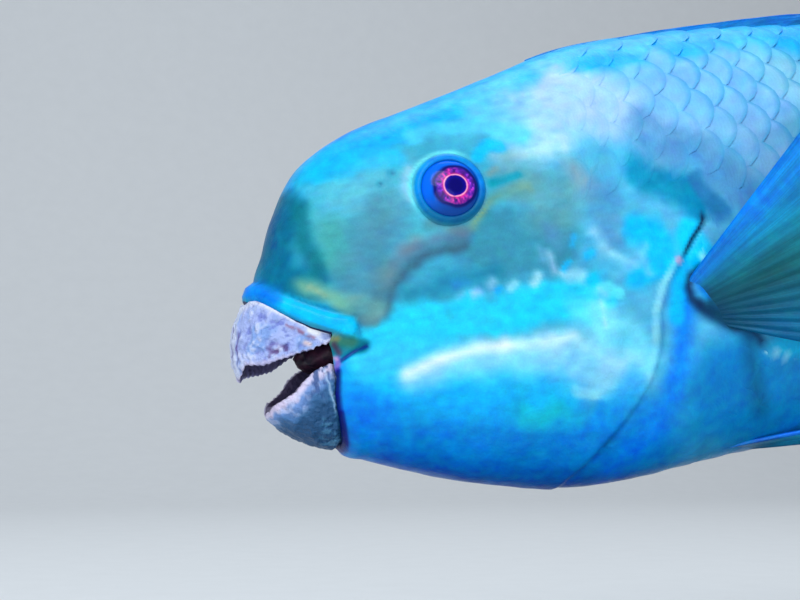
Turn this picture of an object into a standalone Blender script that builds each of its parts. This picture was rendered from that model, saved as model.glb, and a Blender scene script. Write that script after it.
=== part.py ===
"""A life-size model of a parrotfish on a display stand: two rods and a flat base.

The fish is drawn in its own frame, in millimetres: x runs from the tip of the beak
to the tail, z runs up, and the left side, the side that is looked at, is at -y.
The whole fish hangs on one empty, which tips the head down and lifts it over the base.
"""

import math

import bmesh
import bpy
from mathutils import Matrix, Vector

MM = 0.001
GAP = 0.3                       # between pieces that meet

# Pose and stand
NOSE_DOWN = math.radians(10)
TIP_X, TIP_Z = -200.0, 125.0    # beak tip, from the middle of the base's underside
BASE_SIZE = (330.0, 150.0, 20.0)
BASE_ROUND = 4.0
ROD_RADIUS = 5.0
ROD_AT = (16.0, 62.0)            # the rods' places along the base
ROD_SINK = 9.0                  # how deep a rod goes into the belly

# Body: rows of back x, back z, belly x, belly z, half width and squareness of a section
BODY = (
    (6, 13.2, 27, -38, 14, 2.2), (13, 25, 33, -42, 17.5, 2.3), (19, 38, 41, -46, 20.5, 2.5),
    (30, 53, 53, -51, 24.2, 2.6), (49, 62.6, 69, -57, 27.3, 2.6), (72, 68.2, 88, -62.2, 30.2, 2.5),
    (98, 75, 107, -65.4, 32.8, 2.4), (125, 81.5, 128, -66, 34.5, 2.3),
    (152, 83.3, 152, -65, 35.5, 2.2), (180, 83, 180, -64.2, 35.6, 2.15),
    (208, 81.5, 208, -64, 34.5, 2.1), (236, 79.3, 236, -62.8, 32.3, 2.1),
    (264, 75.6, 264, -59.4, 29.5, 2.1), (292, 70, 292, -53.5, 26.2, 2.1),
    (320, 62, 320, -46, 22.3, 2.1), (348, 53, 348, -37, 18.3, 2.1),
    (376, 43.3, 376, -27.6, 14.7, 2.1), (404, 35, 404, -19.6, 11.3, 2.1),
    (432, 30, 432, -15.6, 8.4, 2.1), (465, 30, 465, -16.8, 5.2, 2.2),
)
AROUND = 32                     # points round a section
HEAD_END, TORSO_FROM, TORSO_END = 8.6, 5.0, 16.0   # places along BODY's rows
STEM_AT = 374.0                 # x of the cut between torso and tail stem
STEM_END = 465.0

# Gill opening, from the nape to the throat
GILL = ((103, 100), (107, 84), (112, 70), (120, 56), (130, 45), (140, 36), (148, 28), (152, 21),
        (151, 14), (146, 9), (141, 2.5), (136, -3.5), (132, -12), (130.5, -23), (127, -32),
        (122, -39), (115, -46), (103, -57), (98, -61), (90, -80))
GILL_RAISE, GILL_SLOPE = 1.5, 20.0

# Mouth, seen from the side
LIP_LINE = ((4.4, 11.6), (6.3, 12.8), (8.2, 12.6), (11.7, 9.5), (16.8, 5), (22.1, 1.2), (29.1, -2.2))
MOUTH_CORNER = ((30.8, -4), (31.8, -6.8), (30.2, -9.6), (28.4, -11.6))
MOUTH_FOLD, FOLD_DEEP = ((30, -4.2), (37.6, -8), (30, -9.8)), 1.6
JAW_EDGE = ((27.2, -16), (26.3, -21), (26.5, -26), (27.2, -32), (28.2, -39))
LIP_TOP = ((35.8, 0.5), (34.4, 3.1), (30, 4.2), (25.7, 6.2), (21.6, 8.8), (17.6, 11.4), (13.8, 14.7), (9.1, 19.5))
LIP_RAISE = 1.2
CHIN_LIP, CHIN_RAISE = 5.0, 0.7
MOUTH_WIDE = 20.0               # half width of the head at the corner of the mouth
THROAT_AT, THROAT_SIZE = (30, 0, -8.3), (30, 13, 5.6)

# Beak plates
BEAK_LENGTH, BEAK_HALF = 28.0, 17.0
BEAK_ROUND = 2.2
BEAK_WALL, BEAK_EDGE = 4.0, 1.5
BEAK_FRONT = ((-12.5, 0.2), (-6.3, -0.7), (0, -0.3), (6, 1.7), (11.2, 4.8))
EDGE_LEFT = ((0, -12), (2, -7), (6, -8.1), (15, -6.6), (21, -5.8), (28, -3.9))
EDGE_RIGHT = ((0, -12), (3, -11.3), (9, -11.1), (14, -10.6), (19, -8), (28, -3.9))
JAW_TOP = ((6.7, -23.6), (9, -20.8), (12, -19.5), (15, -17.9), (18.3, -14.7), (21.6, -12.5), (26.2, -10.9))
JAW_BOTTOM = ((6.7, -24.2), (8, -26), (10.7, -29), (13.6, -31.4), (19.4, -35.7), (23.1, -37.3), (26.2, -38.2))
JAW_HALF = 16.4

# Eyes and nostrils
EYE_AT, EYE_RADIUS, EYE_SEAT, EYE_DOME = (71, 26.8, 36.6), 9.0, 6.0, 3.5
EYE_TILT_UP, EYE_TILT_FRONT = math.radians(10), math.radians(6)
RIM_RADIUS, RIM_THICK = 10.2, 1.1
NOSTRILS = ((50.5, 41.5, 1.1), (55.0, 44.5, 1.4))

# Fins: how thick the membrane is at its root and edge, and how high its rays stand
FIN_ROOT, FIN_EDGE, RAY = 1.8, 0.7, 0.45
DORSAL_FROM, DORSAL_TO, DORSAL_RAYS = 114.0, 412.0, 19
ANAL_FROM, ANAL_TO, ANAL_RAYS = 268.0, 392.0, 11
DORSAL_HIGH = ((0, 1.6), (0.1, 2.2), (0.2, 3.6), (0.3, 5.8), (0.37, 6.4), (0.5, 12), (0.65, 18),
               (0.82, 21), (0.94, 20), (1, 15))
ANAL_HIGH = ((0, 8), (0.15, 15), (0.35, 21), (0.65, 21), (0.9, 19), (1, 15))


def colour(name, rgb, roughness=0.4):
    material = bpy.data.materials.new(name)
    material.use_nodes = True
    shader = material.node_tree.nodes["Principled BSDF"]
    shader.inputs["Base Color"].default_value = (*rgb, 1)
    shader.inputs["Roughness"].default_value = roughness
    material.diffuse_color = (*rgb, 1)
    return material


def between(pairs, at):
    """Straight-line value of a list of (place, value) pairs."""
    pairs = sorted(pairs)
    if at <= pairs[0][0]:
        return pairs[0][1]
    for (a, low), (b, high) in zip(pairs, pairs[1:]):
        if at <= b:
            return low + (high - low) * (at - a) / (b - a)
    return pairs[-1][1]


def body_row(place):
    """The sizes of the body's section at a place along BODY, on a smooth curve."""
    i = max(0, min(int(place), len(BODY) - 2))
    f = place - i
    rows = [BODY[max(0, min(k, len(BODY) - 1))] for k in (i - 1, i, i + 1, i + 2)]
    return [
        b + 0.5 * f * (c - a + f * (2 * a - 5 * b + 4 * c - d + f * (3 * (b - c) + d - a)))
        for a, b, c, d in zip(*rows)
    ]


def body_section(place, grow=0.0):
    """The ring of points of one section, from the ridge of the back round by the left."""
    back_x, back_z, belly_x, belly_z, half, square = body_row(place)
    back, belly = Vector((back_x, 0, back_z)), Vector((belly_x, 0, belly_z))
    middle, up = (back + belly) / 2, (back - belly) / 2
    ring = []
    for step in range(AROUND):
        turn = 2 * math.pi * step / AROUND
        power = 2 / (square - 0.12 if math.cos(turn) > 0 else square + 0.15)
        rise = math.copysign(abs(math.cos(turn)) ** power, math.cos(turn))
        out = math.copysign(abs(math.sin(turn)) ** power, math.sin(turn))
        point = middle + up * rise + Vector((0, -half * out, 0))
        arm = point - middle
        extra = grow(point) if callable(grow) else grow
        ring.append(middle + arm * (1 + extra / arm.length))
    return ring


def mesh_object(name, points, faces, material=None):
    mesh = bpy.data.meshes.new(name)
    mesh.from_pydata([Vector(p) * MM for p in points], [], faces)
    if material:
        mesh.materials.append(material)
    obj = bpy.data.objects.new(name, mesh)
    parts.objects.link(obj)
    return obj


def loft(name, rings, material=None):
    """A closed skin over rings that have the same number of points."""
    count = len(rings[0])
    points = [p for ring in rings for p in ring]
    faces = [tuple(range(count)), tuple(reversed(range(len(points) - count, len(points))))]
    for r in range(len(rings) - 1):
        for i in range(count):
            j = (i + 1) % count
            a, b = r * count, (r + 1) * count
            faces.append((a + j, a + i, b + i, b + j))
    obj = mesh_object(name, points, faces, material)
    face_out(obj)
    return obj


def face_out(obj):
    bm = bmesh.new()
    bm.from_mesh(obj.data)
    bmesh.ops.recalc_face_normals(bm, faces=bm.faces)
    if bm.calc_volume(signed=True) < 0:
        bmesh.ops.reverse_faces(bm, faces=bm.faces)
    bm.to_mesh(obj.data)
    bm.free()


def body_loft(name, first, last, step, grow=0.0, material=None):
    places = [first + step * k for k in range(int(round((last - first) / step)) + 1)]
    return loft(name, [body_section(p, grow) for p in places], material)


def slab(name, outline, near=-90.0, far=90.0):
    """A side outline of (x, z) points, filled across the fish from y = near to y = far."""
    bm = bmesh.new()
    face = bm.faces.new([bm.verts.new(Vector((x, near, z)) * MM) for x, z in outline])
    grown = bmesh.ops.extrude_face_region(bm, geom=[face])
    moved = [v for v in grown["geom"] if isinstance(v, bmesh.types.BMVert)]
    bmesh.ops.translate(bm, verts=moved, vec=Vector((0, far - near, 0)) * MM)
    mesh = bpy.data.meshes.new(name)
    bm.to_mesh(mesh)
    bm.free()
    obj = bpy.data.objects.new(name, mesh)
    parts.objects.link(obj)
    face_out(obj)
    return obj


def combine(obj, operation, others, solver="EXACT"):
    """One Boolean with a collection of helpers, applied, with the helpers then removed."""
    helpers = bpy.data.collections.new("helpers")
    bpy.context.scene.collection.children.link(helpers)
    for other in others:
        parts.objects.unlink(other)
        helpers.objects.link(other)
    modifier = obj.modifiers.new(operation.lower(), "BOOLEAN")
    modifier.operation = operation
    modifier.solver = solver
    if len(others) == 1:
        modifier.object = others[0]
    else:
        modifier.operand_type = "COLLECTION"
        modifier.collection = helpers
    bpy.context.view_layer.update()
    graph = bpy.context.evaluated_depsgraph_get()
    mesh = bpy.data.meshes.new_from_object(obj.evaluated_get(graph))
    obj.modifiers.clear()
    obj.data = mesh
    for other in others:
        bpy.data.objects.remove(other, do_unlink=True)
    bpy.data.collections.remove(helpers)
    keep_largest(obj)


def keep_largest(obj):
    """Only the largest of a mesh's closed surfaces stays."""
    bm = bmesh.new()
    bm.from_mesh(obj.data)
    left = set(bm.faces)
    groups = []
    while left:
        group, edge = set(), [left.pop()]
        while edge:
            face = edge.pop()
            group.add(face)
            for loop_edge in face.edges:
                for other in loop_edge.link_faces:
                    if other in left:
                        left.discard(other)
                        edge.append(other)
        groups.append(group)
    groups.sort(key=lambda g: sum(f.calc_area() for f in g))
    spare = [f for g in groups[:-1] for f in g]
    bmesh.ops.delete(bm, geom=spare, context="FACES")
    bm.to_mesh(obj.data)
    bm.free()


def finish(obj, material, angle=40):
    obj.data.materials.clear()
    obj.data.materials.append(material)
    obj.data.shade_smooth()
    obj.data.set_sharp_from_angle(angle=math.radians(angle))
    obj.parent = fish


def fin(name, root, tip, normal, rays, rows, material, thick=FIN_ROOT, edge=FIN_EDGE, ray=RAY,
        scallop=0.02, bow=0.0, plug=0.0):
    """A fin whose rays are ridges of its own surface, split alike on both faces.

    root(u) and tip(u) give the ends of the ray at u, 0 to 1. A plug thickens the root.
    """
    columns = 2 * rays + 1
    points, faces = [], []
    for side in (1, -1):
        for c in range(columns):
            u = c / (columns - 1)
            start, end = Vector(root(u)), Vector(tip(u))
            if c % 2 == 0:
                end = start.lerp(end, 1 - scallop)
            across = Vector(normal(u))
            for r in range(rows + 1):
                v = r / rows
                half = (thick + (edge - thick) * v ** 0.7) / 2 + plug * max(0.0, 1 - v / 0.2)
                if c % 2 == 1:
                    half += ray * (1 - 0.75 * v)
                middle = start.lerp(end, v) + across * (bow * v * v)
                points.append(middle + across * (side * half))
    face_size = columns * (rows + 1)

    def at(side, c, r):
        return side * face_size + c * (rows + 1) + r

    for c in range(columns - 1):
        for r in range(rows):
            a, b, d, e = (c, r), (c + 1, r), (c + 1, r + 1), (c, r + 1)
            # the short diagonal starts from the ray's foot on both of its sides
            cells = ((a, b, d), (a, d, e)) if c % 2 else ((a, b, e), (b, d, e))
            for cell in cells:
                faces.append([at(0, *p) for p in cell])
                faces.append([at(1, *p) for p in reversed(cell)])
    rim = ([(c, 0) for c in range(columns)] + [(columns - 1, r) for r in range(1, rows + 1)]
           + [(c, rows) for c in range(columns - 2, -1, -1)] + [(0, r) for r in range(rows - 1, 0, -1)])
    for p, q in zip(rim, rim[1:] + rim[:1]):
        faces.append([at(0, *q), at(0, *p), at(1, *p)])
        faces.append([at(0, *q), at(1, *p), at(1, *q)])
    obj = mesh_object(name, points, faces, material)
    face_out(obj)
    return obj


def gill_x(z):
    return between([(pz, px) for px, pz in GILL], z)


def gill_cover(point):
    """How far the gill cover stands out over the body behind it."""
    near = 1 - (gill_x(point.z) - point.x) / GILL_SLOPE
    low = min(1.0, max(0.0, (26 - point.z) / 10))
    return GILL_RAISE * low * max(0.0, min(1.0, near)) ** 2


def back_z(x):
    """Height of the ridge of the back at x."""
    return between([body_row(k / 2)[0:2] for k in range(2 * len(BODY) - 1)], x)


def belly_z(x):
    return between([body_row(k / 2)[2:4] for k in range(2 * len(BODY) - 1)], x)


for old in list(bpy.data.objects):
    bpy.data.objects.remove(old, do_unlink=True)

parts = bpy.data.collections.new("parrotfish")
bpy.context.scene.collection.children.link(parts)
fish = bpy.data.objects.new("fish_pose", None)
parts.objects.link(fish)

skin_blue = colour("skin_blue", (0.04, 0.42, 0.72), 0.35)
flank_green = colour("flank_green", (0.10, 0.50, 0.52), 0.4)
tail_green = colour("tail_green", (0.06, 0.44, 0.44), 0.4)
beak_white = colour("beak_white", (0.62, 0.66, 0.80), 0.6)
beak_shade = colour("beak_shade", (0.50, 0.56, 0.74), 0.6)
eye_violet = colour("eye_violet", (0.30, 0.10, 0.42), 0.1)
fin_blue = colour("fin_blue", (0.02, 0.26, 0.52), 0.35)
fin_teal = colour("fin_teal", (0.03, 0.28, 0.32), 0.35)
base_wood = colour("base_wood", (0.10, 0.06, 0.035), 0.35)
rod_steel = colour("rod_steel", (0.45, 0.45, 0.47), 0.3)
rod_steel.node_tree.nodes["Principled BSDF"].inputs["Metallic"].default_value = 1.0

# Head: the front of the body, its side outline cut along the gill opening and the mouth,
# with raised lips and orbit rims, and hollows for the eyes, the nostrils and the throat.
head = body_loft("head", 0, HEAD_END, 0.5, gill_cover)
front = list(LIP_LINE) + list(MOUTH_CORNER) + list(JAW_EDGE)
outline = [(-20, 100)] + list(GILL) + [(28.4, -80)] + front[::-1] + [(-20, 11.6)]
combine(head, "INTERSECT", [slab("head_outline", outline)])

upper_lip = body_loft("upper_lip", 0, 4.5, 0.5, LIP_RAISE)
combine(upper_lip, "INTERSECT",
        [slab("lip_outline", [(-5, 19.5), (-5, 11.6)] + list(LIP_LINE) + [(33.8, -4.2)] + list(LIP_TOP))])
chin_lip = body_loft("chin_lip", 0, 4.5, 0.5, CHIN_RAISE)
behind = [(x + CHIN_LIP, z) for x, z in JAW_EDGE]
combine(chin_lip, "INTERSECT",
        [slab("chin_outline", [(28.6, -11.6)] + list(JAW_EDGE) + [(28.4, -50), (34, -50)] + behind[::-1])])
rims, seats = [], []
for side in (-1, 1):
    x, y, z = EYE_AT
    # local +z is the way the eye looks
    look = Matrix.Rotation(side * -math.pi / 2 + side * EYE_TILT_UP, 4, "X")
    look = Matrix.Rotation(side * EYE_TILT_FRONT, 4, "Z") @ look
    place = Matrix.Translation(Vector((x, side * y, z)) * MM) @ look
    bpy.ops.mesh.primitive_torus_add(major_radius=RIM_RADIUS * MM, minor_radius=RIM_THICK * MM,
                                     major_segments=28, minor_segments=6)
    rim = bpy.context.object
    for owner in rim.users_collection:
        owner.objects.unlink(rim)
    parts.objects.link(rim)
    rim.data.transform(place)
    rims.append(rim)

    bm = bmesh.new()
    bmesh.ops.create_cone(bm, cap_ends=True, segments=28, radius1=(EYE_RADIUS + GAP) * MM,
                          radius2=(EYE_RADIUS + GAP) * MM, depth=(EYE_SEAT + GAP + 10) * MM)
    bmesh.ops.translate(bm, verts=bm.verts, vec=Vector((0, 0, (10 - EYE_SEAT - GAP) / 2)) * MM)
    bm.transform(place)
    mesh = bpy.data.meshes.new("seat")
    bm.to_mesh(mesh)
    bm.free()
    seats.append(bpy.data.objects.new("seat", mesh))
    parts.objects.link(seats[-1])

    for nx, nz, radius in NOSTRILS:
        bm = bmesh.new()
        bmesh.ops.create_cone(bm, cap_ends=True, segments=10, radius1=radius * MM,
                              radius2=radius * MM, depth=8 * MM)
        bm.transform(Matrix.Translation(Vector((nx, side * 25.5, nz)) * MM)
                     @ Matrix.Rotation(math.pi / 2, 4, "X"))
        mesh = bpy.data.meshes.new("nostril")
        bm.to_mesh(mesh)
        bm.free()
        seats.append(bpy.data.objects.new("nostril", mesh))
        parts.objects.link(seats[-1])
    # the fold of skin behind the corner of the mouth
    near, far = sorted((side * (MOUTH_WIDE - FOLD_DEEP), side * 40))
    seats.append(slab("fold", MOUTH_FOLD, near, far))
combine(head, "UNION", [upper_lip, chin_lip] + rims, "MANIFOLD")

bm = bmesh.new()
bmesh.ops.create_uvsphere(bm, u_segments=20, v_segments=10, radius=MM)
bm.transform(Matrix.Translation(Vector(THROAT_AT) * MM) @ Matrix.Diagonal((*THROAT_SIZE, 1)))
mesh = bpy.data.meshes.new("throat")
bm.to_mesh(mesh)
bm.free()
seats.append(bpy.data.objects.new("throat", mesh))
parts.objects.link(seats[-1])
combine(head, "DIFFERENCE", seats, "MANIFOLD")

# Torso and tail stem: the rest of the body, parted by thin cuts.
torso = body_loft("torso", TORSO_FROM, TORSO_END + 0.5, 0.5)
outline = [(x + GAP, z) for x, z in GILL] + [(STEM_AT, -80), (STEM_AT, 100)]
combine(torso, "INTERSECT", [slab("torso_outline", outline)])
stem = body_loft("tail_stem", TORSO_END - 1, len(BODY) - 1, 0.5)
combine(stem, "INTERSECT",
        [slab("stem_outline", [(STEM_AT + GAP, -80), (500, -80), (500, 100), (STEM_AT + GAP, 100)])])

# Upper beak: a wall that runs round the front of the jaw, its edge worn unevenly.
rings = []
for step in range(25):
    turn = math.radians(-90 + 180 * step / 24)
    edge = EDGE_LEFT if turn < 0 else EDGE_RIGHT
    bulge = 1 - math.cos(turn) ** (2 / BEAK_ROUND)
    spread = math.copysign(abs(math.sin(turn)) ** (2 / BEAK_ROUND), turn)
    ring = []
    for inner, downs in ((0, (0, 0.3, 0.65, 1)), (1, (0.97, 0.6, 0))):
        for down in downs:
            wall = inner * (BEAK_WALL + (BEAK_EDGE - BEAK_WALL) * down)
            x = z = 0.0
            for _ in range(6):
                front_x = between(BEAK_FRONT, z) + wall
                x = front_x + (BEAK_LENGTH - front_x) * bulge
                top, low = between(LIP_LINE, x) - 1.3 * GAP, between(edge, x)
                z = top + (low - top) * down
            ring.append((x, (BEAK_HALF - wall) * spread, z))
    rings.append(ring)
beak_upper = loft("beak_upper", rings)

# Lower beak: a scoop, lofted from its tip back to the face of the jaw.
rings = []
for step in range(12):
    u = (step / 11) ** 1.3
    at_x = JAW_TOP[0][0] + 0.15 + (JAW_TOP[-1][0] - JAW_TOP[0][0] - 0.15) * u
    top, low = between(JAW_TOP, at_x), between(JAW_BOTTOM, at_x)
    half = JAW_HALF * max(0.004, 1 - (1 - u / 1.05) ** BEAK_ROUND) ** (1 / BEAK_ROUND)
    wall = min(0.75, 3.4 / half)
    hollow = 0.05 + 0.75 * min(1.0, max(0.0, (u - 0.1) / 0.4))
    ring = []
    for k in range(13):
        turn = math.pi * k / 12
        out = math.copysign(abs(math.cos(turn)) ** 0.85, math.cos(turn))
        ring.append((at_x, -half * out, top - (top - low) * math.sin(turn) ** 0.85))
    for k in range(8, -1, -1):
        turn = math.pi * k / 8
        out = math.copysign(abs(math.cos(turn)) ** 0.85, math.cos(turn))
        ring.append((at_x, -half * (1 - wall) * out,
                     top - (top - low) * hollow * math.sin(turn) ** 0.85 - 0.1))
    waist = [max(0.0, 1 - ((p[2] + 24) / 13) ** 2) * 0.9 * u for p in ring]
    rings.append([(x - w + 0.2 * u, y, z) for (x, y, z), w in zip(ring, waist)])
beak_lower = loft("beak_lower", rings)

# Eyes: turned domes on a short shank, looking out of their seats.
eyes = []
for side, name in ((-1, "eye_left"), (1, "eye_right")):
    profile = [(0, EYE_DOME), (3.6, EYE_DOME * 0.93), (6.2, EYE_DOME * 0.76), (8.0, EYE_DOME * 0.45),
               (EYE_RADIUS, 0), (EYE_RADIUS, -EYE_SEAT), (0, -EYE_SEAT)]
    mesh = bpy.data.meshes.new(name)
    mesh.from_pydata([Vector((r, 0, h)) * MM for r, h in profile], [],
                     [(k, k + 1) for k in range(len(profile) - 1)])
    eye = bpy.data.objects.new(name, mesh)
    parts.objects.link(eye)
    turned = eye.modifiers.new("turn", "SCREW")
    turned.axis = "Z"
    turned.steps = turned.render_steps = 28
    turned.use_merge_vertices = True
    turned.merge_threshold = 0.00001
    turned.use_smooth_shade = True
    turned.use_normal_flip = True
    eye.location = Vector((EYE_AT[0], side * EYE_AT[1], EYE_AT[2])) * MM
    eye.rotation_euler = (side * -math.pi / 2 + side * EYE_TILT_UP, 0, side * EYE_TILT_FRONT)
    mesh.materials.append(eye_violet)
    eye.parent = fish
    eyes.append(eye)


# Dorsal fin: low and laid back at the front, higher towards the tail.
def dorsal_root(u):
    x = DORSAL_FROM + (DORSAL_TO - DORSAL_FROM) * u
    return x, 0, back_z(x) + GAP


def dorsal_tip(u):
    x, _, z = dorsal_root(u)
    high = between(DORSAL_HIGH, u)
    return x + 6 + high * (1.5 - 0.5 * u), 0, z + high - 0.22 * (6 + high)


dorsal = fin("dorsal_fin", dorsal_root, dorsal_tip, lambda u: (0, 1, 0), DORSAL_RAYS, 3, fin_blue)


# Anal fin: three spines and eight rays, laid back under the tail.
def anal_root(u):
    x = ANAL_FROM + (ANAL_TO - ANAL_FROM) * u
    return x, 0, belly_z(x) - GAP


def anal_tip(u):
    x, _, z = anal_root(u)
    high = between(ANAL_HIGH, u)
    return x + 1.1 * high, 0, z - high + 0.33 * high


anal = fin("anal_fin", anal_root, anal_tip, lambda u: (0, 1, 0), ANAL_RAYS, 4, fin_blue)


# Tail fin: two lobes that meet at the middle ray, with long corners.
def lobe(name, way):
    def root(u):
        z = 6.5 + way * (0.25 + 22.3 * (1 - u))
        return STEM_END + GAP, 0, z

    def tip(u):
        w = 1 - u
        return STEM_END + 76 + 42 * w ** 2.2, 0, 6.5 + way * (0.25 + 34 * w + 27 * w ** 2)

    return fin(name, root, tip, lambda u: (0, 1, 0), 7, 6, fin_teal, thick=3.2, edge=0.8, plug=2.6)


caudal_upper = lobe("caudal_fin_upper", 1)
caudal_lower = lobe("caudal_fin_lower", -1)


# Pectoral fins: raised and spread from a short root behind the gill cover.
def fan(name, side, top, bottom, first, last, lengths, rays, rows, **more):
    """A fin whose rays spread from one short root; side 1 mirrors it to the right."""
    top, bottom = Vector(top), Vector(bottom)
    first, last = Vector(first).normalized(), Vector(last).normalized()
    flat = first.cross(last).normalized()

    def across(p):
        return Vector((p[0], -side * p[1], p[2]))

    def root(u):
        return across(top.lerp(bottom, u))

    def tip(u):
        return across(top.lerp(bottom, u) + first.slerp(last, u) * between(lengths, u))

    return fin(name, root, tip, lambda u: across(flat), rays, rows, fin_teal, **more)


PECTORAL = dict(top=(141.5, -32.5, -4.5), bottom=(155, -32.5, -21.5), first=(0.47, -0.6, 0.647),
                last=(0.76, -0.52, -0.4), rays=12, rows=6, thick=2.4, plug=1.3, bow=6.0,
                lengths=((0, 92), (0.12, 103), (0.25, 102), (0.5, 84), (0.8, 56), (1, 40)))
PELVIC = dict(top=(158, -13.5, -60), bottom=(163, -5, -62.3), first=(0.955, -0.28, 0.03),
              last=(0.985, -0.11, -0.1), rays=6, rows=5, thick=2.2,
              lengths=((0, 62), (0.2, 76), (0.6, 66), (1, 48)))
paired = []
for side, hand in ((-1, "left"), (1, "right")):
    for kind, shape in (("pectoral_fin", PECTORAL), ("pelvic_fin", PELVIC)):
        paired.append(fan(f"{kind}_{hand}", side, **shape))
for obj in paired:
    combine(obj, "DIFFERENCE", [body_loft("grown", TORSO_FROM, 12, 0.5, GAP)])

finish(head, skin_blue)
finish(torso, flank_green)
finish(stem, tail_green)
finish(beak_upper, beak_white)
finish(beak_lower, beak_shade)
for obj in [dorsal, anal]:
    finish(obj, fin_blue, 60)
for obj in paired + [caudal_upper, caudal_lower]:
    finish(obj, fin_teal, 60)

fish.location = Vector((TIP_X, 0, TIP_Z)) * MM
fish.rotation_euler = (0, -NOSE_DOWN, 0)
bpy.context.view_layer.update()

# Stand: a flat base and two upright rods, each let into a blind hole in the belly.
bpy.ops.mesh.primitive_cube_add(size=1)
base = bpy.context.object
base.name = base.data.name = "stand_base"
for owner in base.users_collection:
    owner.objects.unlink(base)
parts.objects.link(base)
base.data.transform(Matrix.Diagonal((*[s * MM for s in BASE_SIZE], 1)))
base.location = (0, 0, BASE_SIZE[2] / 2 * MM)
rounded = base.modifiers.new("edges", "BEVEL")
rounded.width = BASE_ROUND * MM
rounded.segments = 3
rounded.limit_method = "ANGLE"
base.data.materials.append(base_wood)

holes = []
for name, rod_x in (("stand_rod_front", ROD_AT[0]), ("stand_rod_rear", ROD_AT[1])):
    # the belly's height over the base at the rod, from the fish's own frame
    fish_x = (rod_x - TIP_X) / math.cos(NOSE_DOWN)
    for _ in range(4):
        fish_x = (rod_x - TIP_X + belly_z(fish_x) * math.sin(NOSE_DOWN)) / math.cos(NOSE_DOWN)
    belly = TIP_Z + fish_x * math.sin(NOSE_DOWN) + belly_z(fish_x) * math.cos(NOSE_DOWN)
    bottom = BASE_SIZE[2] + GAP
    for grown in (0.0, GAP):
        high = belly + ROD_SINK + grown - bottom
        bm = bmesh.new()
        bmesh.ops.create_cone(bm, cap_ends=True, segments=20, radius1=(ROD_RADIUS + grown) * MM,
                              radius2=(ROD_RADIUS + grown) * MM, depth=high * MM)
        mesh = bpy.data.meshes.new(name)
        bm.to_mesh(mesh)
        bm.free()
        rod = bpy.data.objects.new(name if not grown else "hole", mesh)
        parts.objects.link(rod)
        rod.location = Vector((rod_x, 0, bottom + high / 2)) * MM
        if grown:
            holes.append(rod)
        else:
            mesh.materials.append(rod_steel)
            mesh.shade_smooth()
            mesh.set_sharp_from_angle(angle=math.radians(40))
bpy.context.view_layer.update()
combine(torso, "DIFFERENCE", holes)
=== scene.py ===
"""A museum model of a parrotfish, life size, held over a wooden base by two steel rods.

The fish is drawn in its own frame, in millimetres: x runs from the tip of the beak to
the tail, z runs up, and its left side, the side that is looked at, is at -y.
"""

import math

import bmesh
import bpy
import numpy as np
from mathutils import Matrix, Vector


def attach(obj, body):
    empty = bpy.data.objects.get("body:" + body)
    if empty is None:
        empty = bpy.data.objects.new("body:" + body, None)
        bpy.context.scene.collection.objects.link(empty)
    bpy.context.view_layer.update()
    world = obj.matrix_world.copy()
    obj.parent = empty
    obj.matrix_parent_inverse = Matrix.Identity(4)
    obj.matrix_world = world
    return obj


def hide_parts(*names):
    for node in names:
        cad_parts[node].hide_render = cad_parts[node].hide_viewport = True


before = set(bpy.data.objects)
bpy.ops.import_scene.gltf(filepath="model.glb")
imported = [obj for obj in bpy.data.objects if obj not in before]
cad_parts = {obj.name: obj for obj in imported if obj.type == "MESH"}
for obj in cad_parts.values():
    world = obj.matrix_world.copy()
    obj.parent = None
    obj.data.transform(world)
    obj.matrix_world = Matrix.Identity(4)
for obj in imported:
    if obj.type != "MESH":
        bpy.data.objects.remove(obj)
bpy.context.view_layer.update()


# --- The skin ---------------------------------------------------------------------
# The real hide is one tough wet skin drawn over skull, shoulders and tail stem. The
# model's is one cast shell, painted by hand and lacquered, so no seam shows on it. It
# lies half a millimetre low, and the scales that are laid on it fill the outline out.

MM = 0.001
NOSE_DOWN = math.radians(10)
BEAK_TIP = (-200.0, 0.0, 125.0)         # over the middle of the base's underside
COAT_DEPTH = 0.5
# rows of back x, back z, belly x, belly z, half width and squareness of a section
BODY = np.array((
    (6, 13.2, 27, -38, 14, 2.2), (13, 25, 33, -42, 17.5, 2.3), (19, 38, 41, -46, 20.5, 2.5),
    (30, 53, 53, -51, 24.2, 2.6), (49, 62.6, 69, -57, 27.3, 2.6), (72, 68.2, 88, -62.2, 30.2, 2.5),
    (98, 75, 107, -65.4, 32.8, 2.4), (125, 81.5, 128, -66, 34.5, 2.3),
    (152, 83.3, 152, -65, 35.5, 2.2), (180, 83, 180, -64.2, 35.6, 2.15),
    (208, 81.5, 208, -64, 34.5, 2.1), (236, 79.3, 236, -62.8, 32.3, 2.1),
    (264, 75.6, 264, -59.4, 29.5, 2.1), (292, 70, 292, -53.5, 26.2, 2.1),
    (320, 62, 320, -46, 22.3, 2.1), (348, 53, 348, -37, 18.3, 2.1),
    (376, 43.3, 376, -27.6, 14.7, 2.1), (404, 35, 404, -19.6, 11.3, 2.1),
    (432, 30, 432, -15.6, 8.4, 2.1), (465, 30, 465, -16.8, 5.2, 2.2)))
GILL = ((103, 100), (107, 84), (112, 70), (120, 56), (130, 45), (140, 36), (148, 28), (152, 21),
        (151, 14), (146, 9), (141, 2.5), (136, -3.5), (132, -12), (130.5, -23), (127, -32),
        (122, -39), (115, -46), (103, -57), (98, -61), (90, -80))
LIP_LINE = ((4.4, 11.6), (6.3, 12.8), (8.2, 12.6), (11.7, 9.5), (16.8, 5), (22.1, 1.2), (29.1, -2.2))
MOUTH_CORNER = ((25.8, -3.0), (26.8, -6.2), (27.0, -9.4), (27.0, -11.8))
JAW_EDGE = ((27.2, -16), (26.3, -21), (26.5, -26), (27.2, -32), (28.2, -39))
LIP_TOP = ((35.8, 0.5), (34.4, 3.1), (30, 4.2), (25.7, 6.2), (21.6, 8.8), (17.6, 11.4), (13.8, 14.7),
           (9.1, 19.5))
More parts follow.
